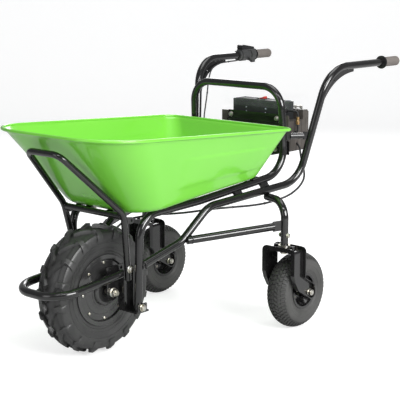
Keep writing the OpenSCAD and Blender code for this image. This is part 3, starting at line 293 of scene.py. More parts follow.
def grid_faces(bm, rings, around=True, cap=False):
    """Skins rings of vertices, joined round each ring, with flat ends when cap is set."""
    n = len(rings[0])
    for a, b in zip(rings, rings[1:]):
        for i in range(n if around else n - 1):
            j = (i + 1) % n
            bm.faces.new((a[i], a[j], b[j], b[i]))
    if cap:
        bm.faces.new(list(reversed(rings[0])))
        bm.faces.new(rings[-1])


def turned(profile, centre, axis, steps=64, shut=True):
    """A turned piece: (radius, distance along the axis) in millimetres, from inside round."""
    bm = bmesh.new()
    turn = Vector((0, 0, 1)).rotation_difference(Vector(axis)).to_matrix().to_4x4()
    place = Matrix.Translation(centre) @ turn
    rings = []
    for s in range(steps):
        a = math.tau * s / steps
        rings.append([
            bm.verts.new(place @ Vector((r * math.cos(a), r * math.sin(a), h)))
            for r, h in [(r / 1000, h / 1000) for r, h in profile]
        ])
    n = len(profile)
    for s in range(steps):
        a, b = rings[s], rings[(s + 1) % steps]
        for i in range(n if shut else n - 1):
            j = (i + 1) % n
            bm.faces.new((a[i], b[i], b[j], a[j]))
    bmesh.ops.remove_doubles(bm, verts=bm.verts, dist=1e-6)
    bmesh.ops.recalc_face_normals(bm, faces=bm.faces)
    return bm


def curve_through(points, steps):
    """A smooth curve through points, as many steps between each two."""
    out = []
    for i in range(len(points) - 1):
        a = points[max(i - 1, 0)]
        b, c = points[i], points[i + 1]
        d = points[min(i + 2, len(points) - 1)]
        for k in range(steps):
            t = k / steps
            out.append(0.5 * (
                2 * b + (c - a) * t + (2 * a - 5 * b + 4 * c - d) * t * t
                + (3 * b - a - 3 * c + d) * t ** 3
            ))
    out.append(points[-1])
    return out


def swept(points, radius, sides=16):
    """A round bar along points, its section carried along without twisting."""
    bm = bmesh.new()
    across = Vector((0.31, 0.37, 0.88))
    rings = []
    for i, p in enumerate(points):
        ahead = (points[min(i + 1, len(points) - 1)] - points[max(i - 1, 0)]).normalized()
        u = (across - ahead * across.dot(ahead)).normalized()
        v = ahead.cross(u)
        across = u
        r = radius(i) if callable(radius) else radius
        rings.append([
            bm.verts.new(p + r * (u * math.cos(math.tau * s / sides) + v * math.sin(math.tau * s / sides)))
            for s in range(sides)
        ])
    grid_faces(bm, rings, cap=True)
    bmesh.ops.recalc_face_normals(bm, faces=bm.faces)
    return bm


# ---- copies by geometry nodes ----


class Copies:
    """A geometry-node tree that sets copies of a template at the points of a mesh."""

    def __init__(self, name):
        self.tree = bpy.data.node_groups.new(name, "GeometryNodeTree")
        face = self.tree.interface
        face.new_socket("Geometry", in_out="INPUT", socket_type="NodeSocketGeometry")
        self.sockets = {}
        for label, kind in (
            ("Template", "NodeSocketObject"), ("Finish", "NodeSocketMaterial"), ("Size", "NodeSocketFloat"),
        ):
            made = face.new_socket(label, in_out="INPUT", socket_type=kind)
            self.sockets[label] = made.identifier
        face.new_socket("Geometry", in_out="OUTPUT", socket_type="NodeSocketGeometry")
        nodes, link = self.tree.nodes, self.tree.links.new
        into = nodes.new("NodeGroupInput")
        out = nodes.new("NodeGroupOutput")
        template = nodes.new("GeometryNodeObjectInfo")
        points = nodes.new("GeometryNodeMeshToPoints")
        copies = nodes.new("GeometryNodeInstanceOnPoints")
        turn = nodes.new("GeometryNodeInputNamedAttribute")
        turn.data_type = "FLOAT_VECTOR"
        turn.inputs["Name"].default_value = "turn"
        grow = nodes.new("GeometryNodeInputNamedAttribute")
        grow.data_type = "FLOAT_VECTOR"
        grow.inputs["Name"].default_value = "grow"
        scale = nodes.new("ShaderNodeVectorMath")
        scale.operation = "SCALE"
        real = nodes.new("GeometryNodeRealizeInstances")
        paint = nodes.new("GeometryNodeSetMaterial")
        link(into.outputs["Template"], template.inputs["Object"])
        link(into.outputs["Geometry"], points.inputs["Mesh"])
        link(points.outputs[0], copies.inputs["Points"])
        link(template.outputs["Geometry"], copies.inputs["Instance"])
        link(turn.outputs["Attribute"], copies.inputs["Rotation"])
        link(grow.outputs["Attribute"], scale.inputs[0])
        link(into.outputs["Size"], scale.inputs["Scale"])
        link(scale.outputs["Vector"], copies.inputs["Scale"])
        link(copies.outputs["Instances"], real.inputs["Geometry"])
        link(real.outputs["Geometry"], paint.inputs["Geometry"])
        link(into.outputs["Finish"], paint.inputs["Material"])
        link(paint.outputs["Geometry"], out.inputs["Geometry"])

    def make(self, name, template, places, material, body, smooth=40, size=1.0):
        """places is a list of matrices, each turning and growing one copy of template."""
        points = bpy.data.meshes.new(name + "_points")
        points.from_pydata([m.to_translation() for m in places], [], [])
        turn = points.attributes.new("turn", "FLOAT_VECTOR", "POINT")
        grow = points.attributes.new("grow", "FLOAT_VECTOR", "POINT")
        for i, m in enumerate(places):
            turn.data[i].vector = m.to_euler()
            grow.data[i].vector = m.to_scale()
        holder = bpy.data.objects.new(name + "_points", points)
        bpy.context.scene.collection.objects.link(holder)
        pattern = bpy.data.objects.new(name + "_template", template)
        bpy.context.scene.collection.objects.link(pattern)
        modifier = holder.modifiers.new("copies", "NODES")
        modifier.node_group = self.tree
        modifier[self.sockets["Template"]] = pattern
        modifier[self.sockets["Finish"]] = material
        modifier[self.sockets["Size"]] = size
        bpy.context.view_layer.update()
        ready = holder.evaluated_get(bpy.context.evaluated_depsgraph_get())
        mesh = bpy.data.meshes.new_from_object(ready)
        bpy.data.objects.remove(holder)
        bpy.data.objects.remove(pattern)
        return finished(name, mesh, material, body, smooth)


COPIES = Copies("set_copies_at_points")


def mesh_of(bm, name="template"):
    mesh = bpy.data.meshes.new(name)
    bm.to_mesh(mesh)
    bm.free()
    return mesh


def hex_head(across=15.2, tall=6.5, bore=0, washer=2.0, washer_r=9.2):
    """A chamfered hexagon head on a washer, seated at the origin and standing along +Z."""
    bm = bmesh.new()
    r = across / 2 / 1000 / math.cos(math.pi / 6)
    steps = 24

    def hexagon(a, k):
        inside = across / 2000 / math.cos((a + math.pi / 6) % (math.pi / 3) - math.pi / 6)
        return min(inside, k)

    rows = [(washer, 0.93 * r), (washer + 0.9, 9), (washer + tall - 1.1, 9), (washer + tall - 0.2, 0.93 * r),
            (washer + tall, 0.86 * r)]
    rings = []
    for h, k in rows:
        rings.append([
            bm.verts.new((hexagon(math.tau * s / steps, k) * math.cos(math.tau * s / steps),
                          hexagon(math.tau * s / steps, k) * math.sin(math.tau * s / steps), h / 1000))
            for s in range(steps)
        ])
    grid_faces(bm, rings, cap=True)
    if washer:
        w = washer_r / 1000
        rings = []
        for h, k in ((0, w), (washer * 0.8, w), (washer, w * 0.95)):
            rings.append([
                bm.verts.new((k * math.cos(a), k * math.sin(a), h / 1000))
                for a in (math.tau * s / steps for s in range(steps))
            ])
        grid_faces(bm, rings, cap=True)
    bmesh.ops.recalc_face_normals(bm, faces=bm.faces)
    return mesh_of(bm)


def dome_head(r, tall, recess=0.42):
    """A low domed head with a socket in it, seated at the origin, along +Z."""
    rows = [(0, 0), (r, 0), (r, tall * 0.35), (r * 0.9, tall * 0.72), (r * 0.66, tall * 0.95),
            (r * recess, tall), (r * recess * 0.92, tall * 0.45), (0, tall * 0.4)]
    return mesh_of(turned(rows, (0, 0, 0), (0, 0, 1), 20, shut=False))


def aimed(centre, axis, spin=0.0, grow=1.0):
    """A matrix that stands +Z along axis at centre."""
    turn = Vector((0, 0, 1)).rotation_difference(Vector(axis)).to_matrix().to_4x4()
    return Matrix.Translation(centre) @ turn @ Matrix.Rotation(spin, 4, "Z") @ Matrix.Scale(grow, 4)


# ---- the tray ----

FLOOR_FRONT, FLOOR_SLOPE = 452.1, -0.0912
RIM_BACK_Z, RIM_SLOPE = 655, 0.0536


def floor_height(x):
    return FLOOR_FRONT + FLOOR_SLOPE * (x + 55)


def rim_height(x):
    return RIM_BACK_Z + RIM_SLOPE * (x + 652)


def outline(back, front, wide_back, wide_front, r_back, r_front, corner=18, side=34, end=16):
    """Half of a rounded outline seen from above, from the front's middle to the back's."""
    pts = []
    for i in range(end):
        pts.append((front, (wide_front - r_front) * i / end))
    for i in range(corner):
        a = math.pi / 2 * i / corner
        pts.append((front - r_front + r_front * math.cos(a), wide_front - r_front + r_front * math.sin(a)))
    for i in range(side):
        t = i / side
        pts.append((
            (front - r_front) * (1 - t) + (back + r_back) * t, wide_front * (1 - t) + wide_back * t
        ))
    for i in range(corner):
        a = math.pi / 2 * i / corner
        pts.append((back + r_back - r_back * math.sin(a), wide_back - r_back + r_back * math.cos(a)))
    for i in range(end + 1):
        pts.append((back, (wide_back - r_back) * (1 - i / end)))
    return pts


def step(x, edge, soft):
    t = min(max((x - edge) / soft + 0.5, 0), 1)
    return t * t * (3 - 2 * t)


def panel(x, t):
    """How far the pressed panel in each side wall stands out, in millimetres."""
    inside = step(x, -540, 14) * (1 - step(x, -156, 14)) * step(t, 0.24, 0.05) * (1 - step(t, 0.67, 0.05))
    return 2.2 * inside


def tray():
    top = outline(-652, 198, 276, 278, 48, 165)
    low = outline(-588, -22, 199, 193, 60, 100)
    whole_top = top + [(x, -y) for x, y in reversed(top[1:-1])]
    whole_low = low + [(x, -y) for x, y in reversed(low[1:-1])]
    count = len(whole_top)
    bm = bmesh.new()
    rings = []

    def ring(place):
        rings.append([bm.verts.new(at(*place(i))) for i in range(count)])

    def sole(k, drop=0.0):
        def place(i):
            x, y = whole_low[i]
            dx, dy = x + 300, y
            d = math.hypot(dx, dy)
            x, y = x - dx / d * k, y - dy / d * k
            return x, y, floor_height(x) + 0.2 + drop
        return place

    def wall(t, out=0.0):
        def place(i):
            (a, b), (c, d) = whole_low[i], whole_top[i]
            x, y = a + (c - a) * t, b + (d - b) * t
            z0, z1 = floor_height(a), rim_height(c)
            run = math.hypot(c - a, d - b)
            push = out
            if abs(y) > 150:
                push += panel(x, t) - 2.4
            else:
                push -= 2.4
            lean = (z1 - z0) / math.hypot(run, z1 - z0)
            x, y = x + (c - a) / run * push * lean, y + (d - b) / run * push * lean
            return x, y, z0 + (z1 - z0) * t + 0.2
        return place

    ring(sole(120))
    ring(sole(60))
    ring(sole(28))
    ring(sole(17))
    for k in range(1, 6):
        a = math.pi / 2 * k / 6

        def fillet(i, a=a):
            x0, y0, z0 = sole(17)(i)
            x1, y1, z1 = wall(0.07)(i)
            corner = sole(2.0)(i)
            u = k / 6
            return tuple(
                (1 - u) ** 2 * p + 2 * u * (1 - u) * q + u * u * r
                for p, q, r in zip((x0, y0, z0), corner, (x1, y1, z1))
            )
        ring(fillet)
    rows = 44
    for k in range(rows):
        ring(wall(0.07 + (0.955 - 0.07) * k / (rows - 1)))

    def curl(a):
        """The rolled rim: a round bead just outside the sheet's edge."""
        def place(i):
            (p, q), (c, d) = whole_low[i], whole_top[i]
            run = math.hypot(c - p, d - q)
            ux, uy = (c - p) / run, (d - q) / run
            reach = 4.2 - 4.2 * math.cos(a)
            return c + ux * (reach - 0.6), d + uy * (reach - 0.6), rim_height(c) + 4.2 * math.sin(a)
        return place

    for a in (-35, -10, 15, 40, 65, 90, 115, 140, 165, 190, 215, 240, 265, 290):
        ring(curl(math.radians(a)))
    grid_faces(bm, rings)
    centre = bm.verts.new(at(-300, 0, floor_height(-300) + 0.2))
    for i in range(count):
        bm.faces.new((rings[0][(i + 1) % count], rings[0][i], centre))
    bmesh.ops.recalc_face_normals(bm, faces=bm.faces)
    bm.normal_update()
    top_face = max(bm.faces, key=lambda f: f.calc_center_median().y)
    if top_face.normal.y < 0:
        bmesh.ops.reverse_faces(bm, faces=bm.faces)
    piece = finished("tray_pan", bm, TRAY_GREEN, "frame", 50)
    sheet = piece.modifiers.new("sheet", "SOLIDIFY")
    sheet.thickness = 0.0018
    sheet.offset = 0
    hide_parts("tray")


# ---- the drive wheel ----


def carcass(y, tread):
    """The drive tyre's radius in millimetres at y from its middle, tread taken off the crown."""
    y = abs(y)
    if y < 33.5:
        r = 141 + math.sqrt(62 ** 2 - y * y)
    elif y < 52.6:
        r = 169 + math.sqrt(max(30 ** 2 - (y - 29) ** 2, 0))
    else:
        r = 187 - (y - 52.6) * 1.1
    return r - tread * (1 - step(y, 52, 12))


def drive_tyre():
    section = []
    for k in range(33):
        y = -50 + 100 * k / 32
        section.append((carcass(y, 11), y))
    shoulder = [(181, 51.2), (175.5, 53.2), (168, 54.6), (160, 55), (152, 54), (144, 51.6), (136, 49.2),
                (129, 47.9), (122.4, 47.9), (120.6, 46.2), (113.6, 46.0), (112.2, 45.4)]
    near = shoulder
    far = [(r, -y) for r, y in reversed(shoulder)]
    inside = [(108, 44), (106, 36), (112, 30), (150, 44), (175, 36), (182, 0), (175, -36), (150, -44),
              (112, -30), (106, -36), (108, -44)]
    profile = far + section + near + inside
    bm = turned(profile, HUB, (0, 1, 0), 128)
    piece = finished("drive_tyre_carcass", bm, DRIVE_RUBBER, "drive_wheel", 35)
    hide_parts("drive_tyre")


def lug_template():
    """One tread bar: out from beside the crown's middle, with a dog-leg over the shoulder."""
    bm = bmesh.new()
    rings = []
    path = [(2.5, 0.0), (8, 3.2), (15, 7.0), (23, 10.8), (31, 13.8), (38, 15.6), (44, 16.2), (49.5, 15.9)]
    line = []
    for (y0, a0), (y1, a1) in zip(path, path[1:]):
        for k in range(2):
            t = k / 2
            y = y0 + (y1 - y0) * t
            line.append((y, a0 + (a1 - a0) * t, carcass(y, 13.5) - 2.5, carcass(y, 0) - 0.5))
    line.append((49.5, 15.9, carcass(49.5, 13.5) - 4, 189.4))
    line += [
        (53.5, 15.4, 174, 186.2), (56.6, 14.9, 168, 181.5), (58.2, 14.4, 163, 174), (58.5, 14.1, 160, 165.5),
    ]
    for k, (y, sweep, low, top) in enumerate(line):
        wide_top = (6.2 + 2.6 * k / len(line)) / 1000
        rows = ((low, wide_top + 0.0036), (top - 2.2, wide_top + 0.0011), (top, wide_top - 0.0006))
        ring = []
        around = [(-1, row) for row in rows] + [(1, row) for row in reversed(rows)]
        for side, (r, w) in around:
            a = math.radians(sweep) + side * w / (r / 1000)
            slip = -side * 0.0022 if y < 44 else 0
            ring.append(bm.verts.new((r / 1000 * math.cos(a), y / 1000 + slip, r / 1000 * math.sin(a))))
        rings.append(ring)
    grid_faces(bm, rings, cap=True)
    bmesh.ops.recalc_face_normals(bm, faces=bm.faces)
    return bm


def drive_tread(count=16):
    for label, flip, shift in (("near", 1, 0.0), ("far", -1, 0.5)):
        bm = lug_template()
        if flip < 0:
            bmesh.ops.transform(bm, matrix=Matrix.Scale(-1, 4, (0, 1, 0)), verts=bm.verts)
            bmesh.ops.reverse_faces(bm, faces=bm.faces)
        places = [
            Matrix.Translation(HUB) @ Matrix.Rotation(-math.tau * (i + shift) / count, 4, "Y")
            for i in range(count)
        ]
        COPIES.make("drive_lugs_" + label, mesh_of(bm), places, DRIVE_RUBBER,
                    "drive_wheel", 30)


def sidewall_rings():
    """Moulded rings and a bead line on both of the drive tyre's walls."""
    for label, s in SIDES:
        rows = []
        for r, y in ((150.5, 53.5), (132, 48.2)):
            rows.append(turned([(r - 1.2, s * (y - 1.5)), (r - 0.7, s * (y + 0.9)), (r + 0.7, s * (y + 1.1)),
                                (r + 1.4, s * (y - 1.2))], HUB, (0, 1, 0), 128))
        bm = rows[0]
        extra = mesh_of(rows[1])
        bm.from_mesh(extra)
        bmesh.ops.recalc_face_normals(bm, faces=bm.faces)
        finished("drive_wall_rings_" + label, bm, DRIVE_RUBBER, "drive_wheel", 35)


def hub_details():
    """Cover screws, a rim line round each cover and a seal at the axle."""
    places = []
    for s in (1, -1):
        for i in range(8):
            a = math.tau * i / 8
            places.append(aimed(
                HUB + Vector((0.088 * math.cos(a), s * 0.0456, 0.088 * math.sin(a))), (0, s, 0), 0.3 * i
            ))
    screws = COPIES.make("hub_cover_screws", dome_head(5, 3.1), places, ZINC, "drive_wheel")
    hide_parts("hub_bolts")
    for label, s in SIDES:
        ring = turned([(74, s * 45.6), (74.8, s * 46.6), (76.6, s * 46.4), (77.4, s * 45.2)],
                      HUB, (0, 1, 0), 96)
        extra = mesh_of(turned([(49.5, s * 49.4), (50, s * 50.6), (52.6, s * 50.2), (53, s * 48.8)],
                               HUB, (0, 1, 0), 96))
        ring.from_mesh(extra)
        bmesh.ops.recalc_face_normals(ring, faces=ring.faces)
        finished("hub_cover_beads_" + label, ring, HUB_BLACK, "drive_wheel", 35)
        seal = turned([(10.6, s * 57.4), (10.6, s * 60.6), (14, s * 60.9), (18, s * 60.7), (19.6, s * 60.2),
                       (19.6, s * 57.4)], HUB, (0, 1, 0), 64)
        finished("hub_seal_" + label, seal, GLOSS_BLACK, "drive_wheel", 35)


# ---- the casters ----


CASTER_PROFILE = [(0, 127), (5, 126.7), (10.5, 125.6), (16, 123.9), (21.8, 121.2), (28, 116.6), (34, 111.5),
                  (38.4, 105), (41.4, 97), (42.2, 88)]


def caster_radius(y, tread=0.0):
    """The caster tyre's radius at y, the depth of its tread taken off up to the shoulder."""
    y = abs(y)
    for (y0, r0), (y1, r1) in zip(CASTER_PROFILE, CASTER_PROFILE[1:]):
        if y <= y1:
            r = r0 + (r1 - r0) * (y - y0) / (y1 - y0)
            return r - tread * (1 - step(y, 37, 6))
    return CASTER_PROFILE[-1][1]


def tread_block(y0, y1, thick, lean, narrow=0.86):
    """A block of tread that follows the caster tyre's crown from y0 to y1."""
    bm = bmesh.new()
    rings = []
    for k in range(4):
        y = y0 + (y1 - y0) * k / 3
        low, top = caster_radius(y, 4.8) - 1.5, caster_radius(y) - 0.25
        skew = math.tan(lean) * (y - (y0 + y1) / 2)
        ring = []
        for side, r, w in ((-1, low, 1.12), (-1, top, narrow), (1, top, narrow), (1, low, 1.12)):
            a = (side * thick / 2 * w + skew) / r
            ring.append(bm.verts.new((r / 1000 * math.cos(a), y / 1000, r / 1000 * math.sin(a))))
        rings.append(ring)
    grid_faces(bm, rings, cap=True)
    bmesh.ops.recalc_face_normals(bm, faces=bm.faces)
    return bm


def caster_tyres():
    rows = (("crown", 52, -4.4, 4.4, 9.0, 0.5, 0.0), ("inner", 52, 7.0, 15.0, 8.4, -0.55, 0.5),
            ("outer", 52, 17.4, 25.0, 8.0, 0.5, 0.0), ("edge", 52, 27.4, 38.5, 6.6, 0.0, 0.5))
    for label, _ in SIDES:
        centre = middle("caster_tyre_" + label)
        body = "caster_wheel_" + label
        section = [(caster_radius(y, 4.8), y) for y in (-34 + 68 * k / 34 for k in range(35))]
        wall = [(106.5, 36.6), (103, 39.0), (97, 41.0), (88, 41.8), (79, 40.6), (71, 37.3), (65, 34.2),
                (62.4, 33.2), (56, 32.6), (55.3, 31.6)]
        inside = [(58, 24), (70, 28), (98, 28), (110, 18), (114, 0)]
        inside += [(r, -y) for r, y in reversed(inside[:-1])]
        profile = [(r, -y) for r, y in reversed(wall)] + section + wall + inside
        piece = finished(
            "caster_carcass_" + label, turned(profile, centre, (0, 1, 0), 96), CASTER_RUBBER, body,
            35,
        )
        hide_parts("caster_tyre_" + label)
        for row, count, y0, y1, thick, lean, shift in rows:
            for half in ((1,) if row == "crown" else (1, -1)):
                bm = tread_block(y0, y1, thick, lean)
                if half < 0:
                    bmesh.ops.scale(bm, vec=(1, -1, 1), verts=bm.verts)
                    bmesh.ops.reverse_faces(bm, faces=bm.faces)
                places = [
                    Matrix.Translation(centre)
                    @ Matrix.Rotation(-math.tau * (i + shift + (0.25 if half < 0 else 0)) / count, 4, "Y")
                    for i in range(count)
                ]
                COPIES.make(f"caster_{row}_blocks_{label}_{'a' if half > 0 else 'b'}", mesh_of(bm), places,
                            TREAD_RUBBER, body, 0)
        for side in (1, -1):
            outer_line = [(84.5, side * 41.2), (85.6, side * 42.3), (88.5, side * 42.3), (90.4, side * 41.2)]
            bead_line = [(71, side * 36.9), (72, side * 38.6), (74.5, side * 39.4), (76, side * 39)]
            ring = turned(outer_line, centre, (0, 1, 0), 96)
            extra = mesh_of(turned(bead_line, centre, (0, 1, 0), 96))
            ring.from_mesh(extra)
            bmesh.ops.recalc_face_normals(ring, faces=ring.faces)
            finished(f"caster_wall_lines_{label}_{'a' if side > 0 else 'b'}", ring, CASTER_RUBBER, body,
                     35)
        bolts = [
            aimed(centre + Vector((0.033 * math.cos(a), t * 0.0083, 0.033 * math.sin(a))), (0, t, 0), a)
            for t in (1, -1) for a in (math.radians(45 + 90 * k) for k in range(4))
        ]
        COPIES.make("caster_rim_bolts_" + label, hex_head(10.6, 5.6, washer=0), bolts, ZINC, body)


def caster_hardware():
    """Axle nuts with washers, and the axle's rod with its two spacers."""
    for label, _ in SIDES:
        centre = middle("caster_tyre_" + label)
        places = [aimed(centre + Vector((0, t * 0.0552, 0)), (0, t, 0), 0.2) for t in (1, -1)]
        COPIES.make("caster_axle_nuts_" + label, hex_head(18.5, 9.4, washer=2.2, washer_r=12),
                    places, ZINC, "caster_" + label)
        rod_profile = [(0, -70), (5.2, -70), (6, -69), (6, 69), (5.2, 70), (0, 70)]
        bar = turned(rod_profile, centre, (0, 1, 0), 32, False)
        for t in (1, -1):
            spacer_profile = [(6.2, t * 47.8), (9.5, t * 47.8), (9.5, t * 51.2), (6.2, t * 51.2)]
            bar.from_mesh(mesh_of(turned(spacer_profile, centre, (0, 1, 0), 32)))
        bmesh.ops.recalc_face_normals(bar, faces=bar.faces)
        rod = finished("caster_axle_rod_" + label, bar, ZINC, "caster_" + label)
        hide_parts("caster_axle_" + label)


# ---- bolts of the frame ----


def frame_bolts():
    places = []
    big = []
    for _, s in SIDES:
        big.append(aimed(at(-36, s * 123.8, 275), (0, s, 0), 0.3))
        big.append(aimed(at(-36, s * 80.0, 275), (0, -s, 0), 0.1, 0.8))
        big.append(aimed(at(-50, s * 161.8, 158), (0, s, 0), 0.2))
        for t in (1, -1):
            places.append(aimed(at(-556, s * 315 + t * 12.9, 322), (0, t, 0), 0.4, 0.88))
    heads = COPIES.make("frame_bolt_heads", hex_head(17.4, 6.6, washer=2, washer_r=11.4),
                        big, ZINC, "frame")
    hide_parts("frame_bolts")
    COPIES.make("stem_bolt_heads", hex_head(15, 5.6, washer=1.5), places, ZINC, "frame")
    places = []
    for _, s in SIDES:
        places.append(aimed(at(-780.5, s * 103, 664.2), (1, 0, 0), 0.2 + s))
        places.append(aimed(at(-706.9, s * 154, 572), (1, 0, 0), 0.5))
        places.append(aimed(at(-789.2, s * 103, 664.2), (-1, 0, 0), 0.2, 0.9))
        places.append(aimed(at(-711.4, s * 154, 572), (-1, 0, 0), 0.5, 0.9))
    boxes = COPIES.make("box_bolt_heads", hex_head(13.6, 5.2, washer=1.6), places, ZINC, "frame")
    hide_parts("box_bolts")
    places = []
    for _, s in SIDES:
        places.append(aimed(at(-555, s * 150, floor_height(-555) + 3.2), (-0.09, 0, 1), 0))
        places.append(aimed(at(-54, s * 48, floor_height(-54) + 3.2), (-0.09, 0, 1), 0))
    trays = COPIES.make("tray_bolt_heads", dome_head(8, 3.6, 0.35), places, ZINC, "frame")
    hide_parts("tray_bolts")
    shanks = [aimed(m.to_translation() - Vector((0, 0, 0.021)), (0, 0, 1)) for m in places]
    rod = mesh_of(turned([(0, 0), (3.6, 0), (4, 0.6), (4, 21), (0, 21)], (0, 0, 0), (0, 0, 1), 20, False))
    COPIES.make("tray_bolt_shanks", rod, shanks, ZINC, "frame")
    under = [aimed(m.to_translation() - Vector((0, 0, 0.0125)), (0, 0, -1), 0.3, 0.9) for m in places]
    COPIES.make("tray_bolt_nuts", hex_head(13, 5.4, washer=1.2), under, ZINC, "frame")


def axle_hardware():
    places = []
    threads = []
    for _, s in SIDES:
        places.append(aimed(HUB + Vector((0, s * 0.0862, 0)), (0, s, 0), 0.25))
        for k in range(7):
            threads.append(aimed(HUB + Vector((0, s * (0.0996 + 0.0009 * k), 0)), (0, s, 0)))
    nuts = COPIES.make("axle_nut_pair", hex_head(21.4, 10.8, washer=2.6, washer_r=15),
                       places, ZINC, "frame")
    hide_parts("axle_nuts")
    thread = mesh_of(turned([(6.8, -0.4), (7.25, 0), (6.8, 0.4), (6.2, 0)], (0, 0, 0), (0, 0, 1), 32))
    COPIES.make("axle_threads", thread, threads, ZINC, "frame")


# ---- grips, throttle and cables ----


def grips():
    for label, s in SIDES:
        low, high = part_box("grip_" + label)
        centre = Vector((low.x, s * 0.292, (low.z + high.z) / 2))
        rows = [(0, 0.6), (12, 0), (15.6, 1.0), (16.8, 3.4), (17, 6.2), (16.9, 8.4)]
        h = 10.0
        while h < 80:
            rows += [(16.9, h), (15.7, h + 0.9), (15.7, h + 2.1), (16.9, h + 3.0)]
            h += 5.8
        rows += [(16.9, 84), (17.4, 87), (12.8, 87), (12.8, 8), (0, 8)]
        sleeve = finished("grip_sleeve_" + label, turned(rows, centre, (1, 0, 0), 56, shut=False),
                          GRIP_RUBBER, "frame", 50)
        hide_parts("grip_" + label)
        flare = [(12.8, 85.5), (17.6, 85.5), (20.4, 91), (23, 93.6), (23.4, 96), (22.8, 98), (12.8, 98)]
        collar = turned(flare, centre, (1, 0, 0), 56)
        finished("grip_collar_" + label, collar, GLOSS_BLACK, "frame", 35)


MOTOR_ROUTE = [
    (-835, 148, 576), (-828, 166, 566), (-813, 186, 531), (-792, 216, 480), (-760, 226, 451),
    (-713, 224, 427), (-658, 216, 414), (-588, 206, 408), (-520, 196, 409), (-455, 180, 412),
    (-395, 140, 409), (-330, 75, 398), (-270, -20, 385), (-230, -96, 360), (-160, -116, 300),
    (-100, -121, 237), (-62, -121, 213), (-34, -121, 205), (-11, -119.5, 203), (-1.2, -114, 203),
    (0, -107, 203),
]
THROTTLE_ROUTE = [
    (-1040, -292, 829), (-1025, -289, 828), (-975, -281, 828), (-915, -278, 824), (-868, -272, 806),
    (-838, -261, 768), (-818, -250, 725), (-803, -245, 680), (-790, -240, 640), (-782, -228, 606),
    (-800, -198, 590), (-818, -170, 588), (-826, -150.4, 592),
]


def held_cables():
    for name, route, r in (("motor_cable", MOTOR_ROUTE, 3.5), ("throttle_cable", THROTTLE_ROUTE, 2.5)):
        path = curve_through([at(*p) for p in route], 10)
        piece = finished(name + "_run", swept(path, r / 1000, 14), SHEATH, "frame", 60)
        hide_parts(name)
    # ties that hold the cables, each a plain ring
    for i, (route, j, r) in enumerate((
        (MOTOR_ROUTE, 7, 3.5), (MOTOR_ROUTE, 9, 3.5),
        (THROTTLE_ROUTE, 2, 2.5), (THROTTLE_ROUTE, 3, 2.5), (THROTTLE_ROUTE, 6, 2.5),
    )):
        p = at(*route[j])
        ahead = (at(*route[j + 1]) - at(*route[j - 1])).normalized()
        bm = turned([(r, -1.3), (r + 0.9, -1.3), (r + 0.9, 1.3), (r, 1.3)], p, ahead, 24)
        finished(f"cable_tie_{i}", bm, GLOSS_BLACK, "frame", 35)


def throttle_details():
    """Clamp screws and the display's glass."""
    low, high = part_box("throttle_display")
    bm = bmesh.new()
    w = 0.0095
    x0, x1 = low.x + 0.012, high.x - 0.014
    slope = (40 - 30) / 63
    def top(x):
        return (0.847 + 0.030 + (x - (low.x + 0.004)) * slope) - 0.0002
    rings = []
    for lift, inset in ((0, 0), (0.0008, 0.0004), (0.001, 0.002)):
        ring = []
        left, right, side = x0 + inset, x1 - inset, w - inset
        for x, y in ((left, -side), (right, -side), (right, side), (left, side)):
            ring.append(bm.verts.new((x, -0.292 + y, top(x) + lift)))
        rings.append(ring)
    grid_faces(bm, rings, cap=True)
    bmesh.ops.recalc_face_normals(bm, faces=bm.faces)
    finished("throttle_display_glass", bm, GLOSS_BLACK, "frame", 30)
    low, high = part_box("throttle_housing")
    places = []
    for dx in (12, 62):
        for a in (0.9, 2.2):
            places.append(aimed(
                Vector((low.x + dx / 1000, -0.292 + 0.0219 * math.cos(a + math.pi / 2),
                        0.847 - 0.0219 * math.sin(a))),
                (0, math.cos(a + math.pi / 2), -math.sin(a)),
            ))
    COPIES.make("throttle_screws", dome_head(2.6, 1.6, 0.5), places, ZINC, "frame")


# ---- boxes ----


